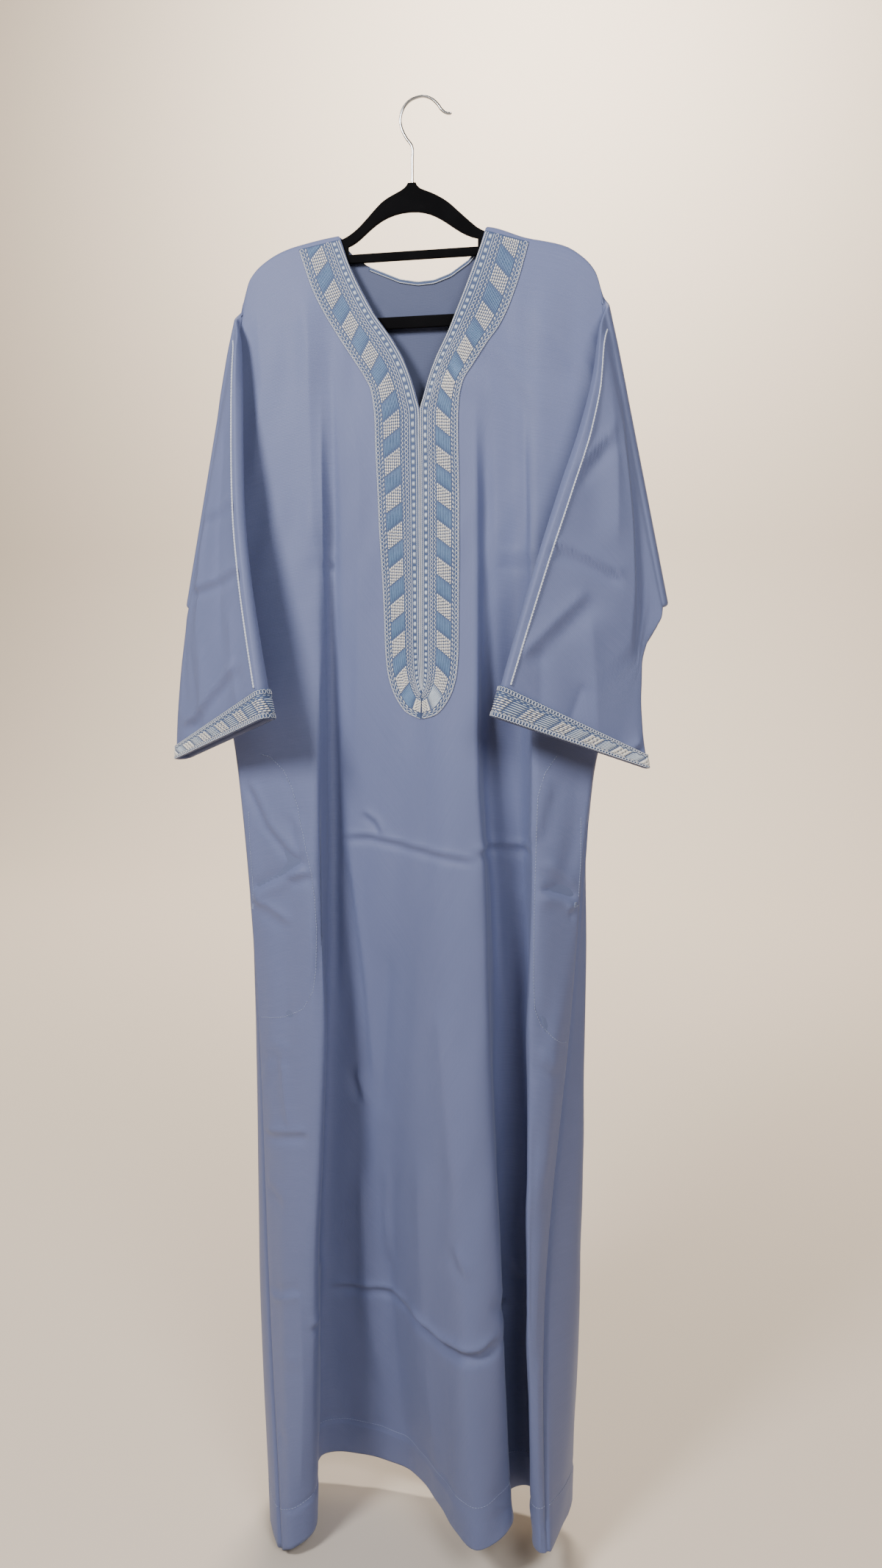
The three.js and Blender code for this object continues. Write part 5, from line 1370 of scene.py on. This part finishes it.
def work_block(work, patch, number):
    """One slanting block, column by column."""
    cream = number % 2 == 0
    columns = CREAM_COLUMNS if cream else BLUE_COLUMNS
    edges = np.linspace(BLOCK_FROM, BLOCK_TO, columns + 1)
    across = (edges[:-1] + edges[1:]) / 2
    for k, a in enumerate(across):
        low = max(block_edge(patch, number + 1, a) + BLOCK_GAP, 1.0)
        high = min(block_edge(patch, number, a) - BLOCK_GAP, patch.length - 0.2)
        if high - low < SHORTEST:
            continue
        if cream:
            count = max(1, round((high - low) / CREAM_STITCH))
            cream_column(work, patch, low, high, a, count, CREAM_SHIFT * (k % 2), CREAM_SIZE)
        else:
            shade = PALE if number == 1 and patch is bands["right"] else BLUE
            work.stitches(patch, [(low, a)], [(high, a)], *BLUE_SIZE, shade, 0.4, 8)


def embroider(name, patch, lean):
    """All rows of a band, from its open edge outwards, and then its blocks."""
    work = Stitchwork()
    work.rows(patch, BAND_ROWS, lean)
    for number in range(int(patch.length / BLOCK_LONG) + 2):
        work_block(work, patch, number)
    return work.finish(name)


band_stitches = {side: embroider(f"band_{side}_stitches", bands[side], lean)
                 for side, lean in (("left", 1), ("right", -1))}

# %% [markdown]
# ## Cuffs
# The end of each sleeve carries a band an inch wide: a chain at both edges, running
# stitches below the upper one, and a row of slanting blocks, each of a few level threads,
# by turns cream and pale blue. The band is a ring of ground cloth round the tube, made
# from the same stations as the sleeve, so it sits evenly off it.

# %% Cuff bands
CUFF_HEIGHT = 25
CUFF_RISE = 1.9  # the ground's top above the sleeve
CUFF_WALL = 1.1
CUFF_BLOCK = 19  # about the length of a block
CUFF_COLUMNS = np.linspace(0.255, 0.645, 6)
CUFF_LEAN = 1.7  # shift of the blocks from one column to the next
CUFF_GAP = 0.4
CUFF_SHIFT = 1.3  # every second column is worked this much further round
CUFF_CREAM, CUFF_PALE = (1.7, 1.4), (1.25, 1.1)  # width and height of a stitch
CUFF_ROWS = [
    ("chain", SILVER, 0, 0.90, 4.6, 0.14, 3.6, 0.75),
    ("chain", SILVER, 0, 0.09, 4.6, 0.15, 3.6, 0.8),
    ("running", PALE, 0, 0.775, 5.0, 7.6, 0.9),
    ("running", PALE, 3.8, 0.715, 5.0, 7.6, 0.9),
    ("running", CREAM, 0, 0.19, 4.2, 5.4, 0.8),
]


def cuff_patch(sleeve):
    """The top of a cuff's ground, with the way round it as its length."""
    up = np.linspace(-0.2, CUFF_HEIGHT, 11)
    upper, under, facing, sizes = sleeve.stations(sleeve.length - up)
    rings, _ = sleeve_rings(upper, under, facing, sizes, sleeve.top)
    normals = ring_normals(rings, (upper + under) / 2)
    rings = rings + normals * CUFF_RISE
    rings, normals = (np.concatenate([r, r[:, :1]], axis=1).transpose(1, 0, 2) for r in (rings, normals))
    return Patch(rings, normals, distances(rings[:, 0]), up / CUFF_HEIGHT, True)


def cuff_ground(side):
    """The ring of ground cloth, without the place that closes the patch."""
    grid, normals = (g[:-1].transpose(1, 0, 2) for g in (cuffs[side].grid, cuffs[side].normals))
    return ground(f"cuff_{side}_ground", grid, normals, CUFF_WALL, f"cuff_band_{side}", closed=True)


def embroider_cuff(side):
    """All rows of a cuff, and then its blocks."""
    work, patch = Stitchwork(), cuffs[side]
    work.rows(patch, CUFF_ROWS)
    block = patch.length / (2 * round(patch.length / (2 * CUFF_BLOCK)))
    for number in range(int(round(patch.length / block))):
        for k, a in enumerate(CUFF_COLUMNS):
            shift = (k - 2.5) * CUFF_LEAN
            low, high = number * block + shift + CUFF_GAP, (number + 1) * block + shift - CUFF_GAP
            if number % 2 == 0:
                cream_column(work, patch, low, high, a, 3, CUFF_SHIFT * (k % 2), CUFF_CREAM)
            else:
                work.stitches(patch, [(low, a)], [(high, a)], *CUFF_PALE, PALE, 0.4, 7)
    return work.finish(f"cuff_{side}_stitches")


cuffs = {side: cuff_patch(sleeves[side]) for side in SIDES}
cuff_grounds = {side: cuff_ground(side) for side in SIDES}
cuff_stitches = {side: embroider_cuff(side) for side in SIDES}

# %% [markdown]
# ## Cords down the sleeves
# A two-ply silver cord is couched along the upper edge of each sleeve, from the shoulder
# to the cuff. Two strands wind round each other about one path.

# %% Sleeve cords
CORD_STRAND = 1.15
CORD_TURN = 7.0  # mm for one turn of the two strands
CORD_PLACES = 420
CORD_INSET = (20, 7)  # from the upper edge, at the shoulder and at the cuff
CORD_LIFT = 0.9
CORD_END = 3
PLY_RADIUS = 0.55


def sleeve_cord(side):
    """Two strands wound round a path on the seen side of a sleeve."""
    sleeve = sleeves[side]
    at = np.linspace(CORD_END, sleeve.length - CUFF_HEIGHT - CORD_END, CORD_PLACES)
    upper, under, facing, sizes = sleeve.stations(at)
    chord = unit(under - upper)
    inset = CORD_INSET[0] + (CORD_INSET[1] - CORD_INSET[0]) * at / sleeve.length
    place = upper + chord * inset[:, None]
    thin = 1 - 0.5 * smooth_step(1 - (sleeve.top - place[:, 2]) / TOP_SOFT)
    path = place + facing * (sizes[:, 1] * thin + CORD_LIFT)[:, None]
    turn = 2 * math.pi * distances(path) / CORD_TURN
    work = Stitchwork()
    for start in (0, math.pi):
        wind = chord * np.cos(turn + start)[:, None] + facing * np.sin(turn + start)[:, None]
        work.strands((path + wind * PLY_RADIUS)[None], facing[None], CORD_STRAND, CORD_STRAND,
                     np.ones(CORD_PLACES), SILVER, 6)
    piece = work.finish(f"sleeve_{side}_cord")
    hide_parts(f"sleeve_cord_{side}")
    return piece


sleeve_cords = {side: sleeve_cord(side) for side in SIDES}

# %% [markdown]
# ## The back of the neck
# Inside the back neckline lies a narrow binding with a silver cord along its top edge. It
# is cut from the first rows of the back cloth, moved to the side that faces the viewer.

# %% Back neck binding
NECK_HALF = 67
NECK_TOP_Z = -155
STRIP_ROWS = 3
STRIP_WALL = 0.8
STRIP_GAP = 1.1

top_edge = back_grid[0]
in_neck = (np.abs(top_edge[:, 0]) < NECK_HALF) & (top_edge[:, 2] < NECK_TOP_Z)
binding_normals = -grid_normals(back_grid, 1)[:STRIP_ROWS, in_neck]
binding_grid = back_grid[:STRIP_ROWS, in_neck] + binding_normals * (CLOTH_WALL + STRIP_GAP)
back_neck_strip = ground("back_neck_strip", binding_grid, binding_normals, STRIP_WALL, "back_neck_binding")

binding_patch = Patch(binding_grid.transpose(1, 0, 2), binding_normals.transpose(1, 0, 2),
                      distances(binding_grid[0]), np.array([0, 0.5, 1]))
work = Stitchwork()
work.rope(binding_patch, SILVER, 0.5, across=0.14, wide=0.2, pitch=2.2, width=1.1)
work.rope(binding_patch, SILVER, 0.5, across=0.85, wide=0.2, pitch=2.2, width=0.9, lean=-1)
back_neck_cord = work.finish("back_neck_cord")

# %% [markdown]
# ## Pockets
# Each side seam opens into a flat pocket bag that is stitched to the back of the front
# cloth, so only its outline of stitches shows. The bag follows the front's own sections
# from the seam to its outline.

# %% Pocket bags
BAG_ROWS, BAG_COLUMNS = 44, 26
BAG_WALL = 0.8
BAG_GAP = 0.9  # between the bag and the front cloth


def pocket_bag(side, outline):
    """A bag from the side seam to its outline, behind the front cloth, and its grid."""
    edge = np.array(outline[1:-1], float)
    heights = np.linspace(edge[0, 1] - 1, edge[-1, 1] + 1, BAG_ROWS)
    order = np.argsort(edge[:, 1])
    limit = np.interp(heights, edge[order, 1], edge[order, 0])
    last = len(front.names) - 1
    fine = np.linspace(2.1, 6, 500) if side == "left" else last - np.linspace(2.1, 5, 500)
    rows = []
    for z, x in zip(heights, limit):
        line = front.section(np.array([z]), fine)[0]
        past = line[:, 0] > x if side == "left" else line[:, 0] < x
        stop = max(np.argmax(past), 8) if past.any() else len(fine) - 1
        shares = np.linspace(fine[0], fine[stop], BAG_COLUMNS)
        line = front.section(np.array([z]), shares if side == "left" else shares[::-1])[0]
        rows.append(np.column_stack([line, np.full(BAG_COLUMNS, z)]))
    grid = np.stack(rows)
    normals = grid_normals(grid, -1)
    grid = grid - normals * (CLOTH_WALL + BAG_GAP)
    piece = new_sheet(f"pocket_{side}", grid, normals, pocket_cloth)
    give_wall(piece, BAG_WALL)
    belongs(piece, "cloth", f"pocket_bag_{side}")
    return piece, grid


pockets, pocket_grids = {}, {}
for side, outline in (("left", LEFT_POCKET), ("right", RIGHT_POCKET)):
    pockets[side], pocket_grids[side] = pocket_bag(side, outline)

# %% [markdown]
# ## Seams and hems
# Machine stitches hold the hem and the pocket outlines, and a dense bar of them ends each
# pocket slit. They are tiny, but at the hem and pockets they are all that shows. A stitch
# line is a list of places on the cloth, walked in even steps.

# %% Machine stitches
WALK_STEP = 1.8
JUMP = 6  # a greater step in depth ends a run of stitches
STITCH_LIFT = np.array([0.05, 0.28, 0.05])[None, :, None]
STITCH_WIDTHS = [0.5, 1, 0.5]
POCKET_SEAMS = [
    [(-196, -735), (-184, -737), (-165, -752), (-154, -772), (-145, -798), (-138, -825), (-132, -847),
     (-126, -868), (-121, -900), (-118, -937), (-118, -987), (-121, -1013), (-135, -1037),
     (-162, -1052), (-204, -1062)],
    [(163, -727), (150, -747), (143, -773), (142, -830), (142, -900), (143, -985), (145, -1017),
     (152, -1036), (165, -1051), (176, -1062), (184, -1063)],
]
SLIT_SEAMS = [
    [(-216, -806), (-214, -850), (-211, -892), (-210, -918)],
    [(190, -800), (191, -848), (189, -896)],
]
SLIT_ENDS = [(-213, -921), (189, -899)]
BAR_HALF, BAR_STITCHES, BAR_PITCH = 4.5, 6, 1.1  # the bar that ends a slit


def walk(work, places, normals, stitch=2.8, pitch=3.6, width=0.95):
    """Machine stitches along places on the cloth."""
    length = distances(places)
    starts = np.arange(0.5, length[-1] - stitch, pitch)
    if len(starts) == 0:
        return
    at = starts[:, None] + np.linspace(0, stitch, 3)[None]
    facing = unit(interpolate(at, length, normals))
    path = interpolate(at, length, places) + facing * STITCH_LIFT
    work.strands(path, facing, width, width * 0.8, STITCH_WIDTHS, SEAM, 4)


def stitches_over(work, outline, **sizes):
    """Stitches along x, z places on the front, broken where a fold hides the line."""
    outline = np.array(outline, float)
    length = distances(outline)
    runs = [[]]
    for x, z in interpolate(np.arange(0, length[-1], WALK_STEP), length, outline):
        found = on_front(x, z)
        if found is None or (runs[-1] and abs(found[0][1] - runs[-1][-1][0][1]) > JUMP):
            runs.append([])
        if found is not None:
            runs[-1].append(found)
    for run in runs:
        if len(run) > 3:
            places, normals = (np.array(part) for part in zip(*run))
            walk(work, places, normals, **sizes)


work = Stitchwork()
for grid, outward, hem in ((front_grid, -1, front.hem_height(front_shares)),
                           (back_grid, 1, back.hem_height(back_shares))):
    normals = grid_normals(grid, outward)
    line, facing = [], []
    for c in range(2, grid.shape[1] - 2):
        above = grid[::-1, c, 2] - hem[c]
        line.append(interpolate(HEM_TURN, above, grid[::-1, c]))
        facing.append(interpolate(HEM_TURN, above, normals[::-1, c]))
    walk(work, np.array(line), np.array(facing))
hem_stitches = work.finish("hem_stitches")

work = Stitchwork()
for seam in POCKET_SEAMS:
    stitches_over(work, seam)
for seam in SLIT_SEAMS:
    stitches_over(work, seam, pitch=3.2)
for x, z in SLIT_ENDS:
    for k in range(BAR_STITCHES):
        level = z - BAR_PITCH * k
        stitches_over(work, [(x - BAR_HALF, level), (x + BAR_HALF, level - 0.6)], stitch=4.5, pitch=4.6)
pocket_stitches = work.finish("pocket_stitches")

# %% [markdown]
# ## The hanger
# The hanger is a thin plastic shape with a black flocked coat, cut out in the middle and
# with a bar below for trousers. A flat curve is the natural start: its outline and its two
# windows are drawn, the curve gets its depth and rounded edges, and it is then made a
# mesh. The windows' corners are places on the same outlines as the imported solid.

# %% Hanger outline
HANGER_HALF = 2.5
HANGER_EDGE = 1.4
HANGER_DROP = 3.9  # the arms lie this far below the outside of the shoulders


def bezier(a, b, c, d, steps=12):
    """Places on a curve from a to d, without a itself."""
    t = np.linspace(0, 1, steps + 1)[1:, None]
    a, b, c, d = (np.array(p, float) for p in (a, b, c, d))
    return ((1 - t) ** 3 * a + 3 * t * (1 - t) ** 2 * b + 3 * t**2 * (1 - t) * c + t**3 * d).tolist()


def outline_of(start, *steps):
    """Places of an outline from its start; a step is one place, or three for a curve."""
    places = [list(start)]
    for step in steps:
        if isinstance(step[0], (int, float)):
            places.append(list(step))
        else:
            places += bezier(places[-1], *step)
    return places


def arm(x, shift):
    """A place on the upper edge of an arm."""
    return (x + shift, float(shoulder_height(x)) - HANGER_DROP)


hanger_edge = outline_of(
    (-17, -88), [(-21, -97), (-34, -97), (-48, -107)], [(-66, -122), (-76, -139), (-100, -145)],
    *[arm(x, 1) for x in (-120, -145, -163, -180, -192)],
    [(-203, -184), (-208, -198), (-208, -218)], [(-208, -232), (-203, -244), (-190, -244)],
    (180, -244), [(190, -244), (194, -236), (194, -224)], [(194, -208), (189, -196), (178, -183)],
    *[arm(x, -1) for x in (164, 150, 130, 112)],
    [(92, -152), (76, -149), (62, -140)], [(52, -132), (46, -126), (38, -119)],
    [(22, -103), (4, -98), (-2, -95)], [(-5, -93), (-7, -91), (-8, -88)])
upper_window = outline_of(
    (-87, -160.5), (-87, -152), [(-66, -146), (-56, -119), (-14, -119)],
    [(22, -119), (34, -146), (63, -152)], (63, -160.5))
lower_window = outline_of(
    (-92, -170), (-92, -160), (-120, -162), (-150, -167), (-174, -178),
    [(-188, -188), (-194, -198), (-194, -212)], [(-194, -224), (-190, -231), (-180, -231)],
    (170, -231), [(178, -231), (181, -226), (180, -218)], [(178, -204), (171, -194), (158, -185)],
    (136, -176), (110, -170), (68, -160), (68, -170))

# %% Hanger body
flock = new_material("black_flock", {
    "Specular IOR Level": 0.05, "Sheen Weight": 0.06, "Sheen Roughness": 0.5,
    "Sheen Tint": (0.5, 0.5, 0.55, 1)})
place = add_node(flock.node_tree, "TexCoord")
fibres = add_node(flock.node_tree, "TexNoise", {"Vector": place["Object"], "Scale": 900, "Detail": 3})
rubbed = add_node(flock.node_tree, "TexNoise", {"Vector": place["Object"], "Scale": 24})
vary(flock, rubbed["Fac"], (0.0015, 0.0015, 0.002), (0.006, 0.006, 0.007), fibres["Fac"], (0.85, 1.0),
     fibres["Fac"], 0.6, 0.0003)

drawing = bpy.data.curves.new("hanger_black", "CURVE")
drawing.dimensions = "2D"
drawing.fill_mode = "BOTH"
drawing.extrude = (HANGER_HALF - HANGER_EDGE) * MM
drawing.bevel_depth = HANGER_EDGE * MM
drawing.offset = -HANGER_EDGE * MM
drawing.bevel_resolution = 3
for places in (hanger_edge, upper_window, lower_window):
    spline = drawing.splines.new("POLY")
    spline.points.add(len(places) - 1)
    for point, (x, z) in zip(spline.points, places):
        point.co = (x * MM, z * MM, 0, 1)
    spline.use_cyclic_u = True
hanger_black = bpy.data.objects.new("hanger_black", drawing)
bpy.context.scene.collection.objects.link(hanger_black)
work_on(hanger_black)
bpy.ops.object.convert(target="MESH")
bpy.ops.object.mode_set(mode="EDIT")
bpy.ops.mesh.select_all(action="SELECT")
bpy.ops.mesh.remove_doubles(threshold=0.00002)
bpy.ops.transform.rotate(value=-math.pi / 2, orient_axis="X", center_override=(0, 0, 0))
bpy.ops.object.mode_set(mode="OBJECT")
bpy.ops.object.shade_smooth_by_angle(angle=math.radians(40))
hanger_black.data.materials.clear()
hanger_black.data.materials.append(flock)
belongs(hanger_black, "hanger_flock", "hanger_body")

# %% [markdown]
# ## The hook
# The hook is a chromed wire. It follows one smooth line from the hanger's neck over the
# peg to its rounded tip.

# %% Hook
HOOK_PATH = [
    (-12, -92), (-12, -66), (-12.2, -50), (-19, -40), (-24, -30), (-25.5, -20), (-22, -9),
    (-14, -1.5), (0, 1.6), (10, -1.8), (17, -8), (22, -14.5), (27, -18), (33, -19),
]
WIRE = 3.2
HOOK_PLACES = 150
HOOK_TIP = (0.97, 0.86, 0.62, 0.2)  # the wire's end is rounded

chrome = new_material("hook_chrome", {"Metallic": 1.0, "Base Color": (0.68, 0.69, 0.71, 1)})
place = add_node(chrome.node_tree, "TexCoord")
scuffs = add_node(chrome.node_tree, "TexNoise", {"Vector": place["Object"], "Scale": 180, "Detail": 4})
rough = add_node(chrome.node_tree, "MapRange", {"Value": scuffs["Fac"], "To Min": 0.12, "To Max": 0.34})
set_inputs(chrome.node_tree, chrome.node_tree.nodes["Principled BSDF"], {"Roughness": rough[0]})

hook_line = np.array([(x, 0, z) for x, z in HOOK_PATH], float)[None]
hook_line = curve_points(hook_line, np.linspace(0, len(HOOK_PATH) - 1, HOOK_PLACES))[0]
profile = np.ones(HOOK_PLACES)
profile[-len(HOOK_TIP):] = HOOK_TIP
work = Stitchwork()
work.strands(hook_line[None], np.tile([0, -1, 0], (1, HOOK_PLACES, 1)), WIRE, WIRE, profile, 0, 14)
hook_wire = new_piece("hook_wire", np.vstack(work.places), work.faces, [chrome], np.vstack(work.map))
belongs(hook_wire, "hook_chrome", "hanger_hook")
print("hook wire from", hook_line[0], "to", hook_line[-1])

# %% [markdown]
# ## The sizes of the sheets
# A workshop would ask for the size of each piece before it was sewn and hung. For each
# sheet the greatest width and length are worked out from its grid, since none of them is a rectangle.

# %% Sheets
def sheet_of(grid, closed=False, size=None):
    """Works out a sheet's greatest width and length from its grid, or takes them from size."""
    if closed:
        grid = np.concatenate([grid, grid[:, :1]], axis=1)
    width = np.linalg.norm(np.diff(grid, axis=1), axis=2).sum(axis=1).max() * MM
    length = np.linalg.norm(np.diff(grid, axis=0), axis=2).sum(axis=0).max() * MM
    width, length = size or (round(width + 0.0005, 3), round(length + 0.0005, 3))


sheet_of(front_grid)
sheet_of(back_grid)
SLEEVE_CUT = (0.39, 0.53)  # square to the upper edge and along it; the armhole edge slants
for side in SIDES:
    sheet_of(sleeve_grids[side],
             closed=True, size=SLEEVE_CUT)
for side in SIDES:
    sheet_of(bands[side].grid)
for side in SIDES:
    sheet_of(cuffs[side].grid)
for side in SIDES:
    sheet_of(pocket_grids[side])

# %% [markdown]
# ## Floor and light
# The photograph was taken indoors, before a pale warm wall. The hollows between the folds
# are dark, so the light there comes from the sides: a soft lamp on the left, a weaker one
# on the right and little from all round. A third lights the pale floor, which sweeps up
# behind the garment as in a photographer's studio.

# %% Floor, lamps and world
FLOOR_Z = -1.712
SWEEP_RADIUS = 1.6
SWEEP_FROM = 3.4
bend = np.linspace(0, math.pi / 2, 25)
profile = [(-7.0, FLOOR_Z)]
profile += [(SWEEP_FROM + SWEEP_RADIUS * math.sin(a), FLOOR_Z + SWEEP_RADIUS * (1 - math.cos(a)))
            for a in bend]
profile.append((SWEEP_FROM + SWEEP_RADIUS, 7.0))
sweep = bpy.data.meshes.new("floor")
sweep.from_pydata([(x, y, z) for y, z in profile for x in (-9, 9)], [],
                  [(2 * k, 2 * k + 1, 2 * k + 3, 2 * k + 2) for k in range(len(profile) - 1)])
sweep.update()
floor = bpy.data.objects.new("floor", sweep)
bpy.context.scene.collection.objects.link(floor)
work_on(floor)
bpy.ops.object.shade_smooth()
floor.data.materials.append(
    new_material("pale_floor", {"Base Color": (0.72, 0.65, 0.57, 1), "Roughness": 0.9}))


def soft_lamp(name, place, aim, size, power, colour):
    data = bpy.data.lights.new(name, "AREA")
    data.shape = "DISK"
    data.size = size
    data.energy = power
    data.color = colour
    lamp = bpy.data.objects.new(name, data)
    lamp.location = place
    lamp.rotation_euler = (Vector(aim) - Vector(place)).to_track_quat("-Z", "Y").to_euler()
    bpy.context.scene.collection.objects.link(lamp)


soft_lamp("window", (-1.0, -1.5, 0.5), (-0.1, 0, -0.6), 0.6, 47, (1.0, 0.97, 0.94))
soft_lamp("room", (1.1, -1.65, 0.45), (0.1, 0, -0.6), 1.1, 31, (1.0, 0.97, 0.94))
soft_lamp("backdrop", (-0.4, 2.2, 3.2), (-0.6, 5.0, 0.6), 1.6, 560, (1.0, 0.88, 0.74))
world = bpy.data.worlds.new("pale_room")
world.use_nodes = True
set_inputs(world.node_tree, world.node_tree.nodes["Background"],
           {"Color": (0.92, 0.86, 0.80, 1), "Strength": 0.1})
bpy.context.scene.world = world
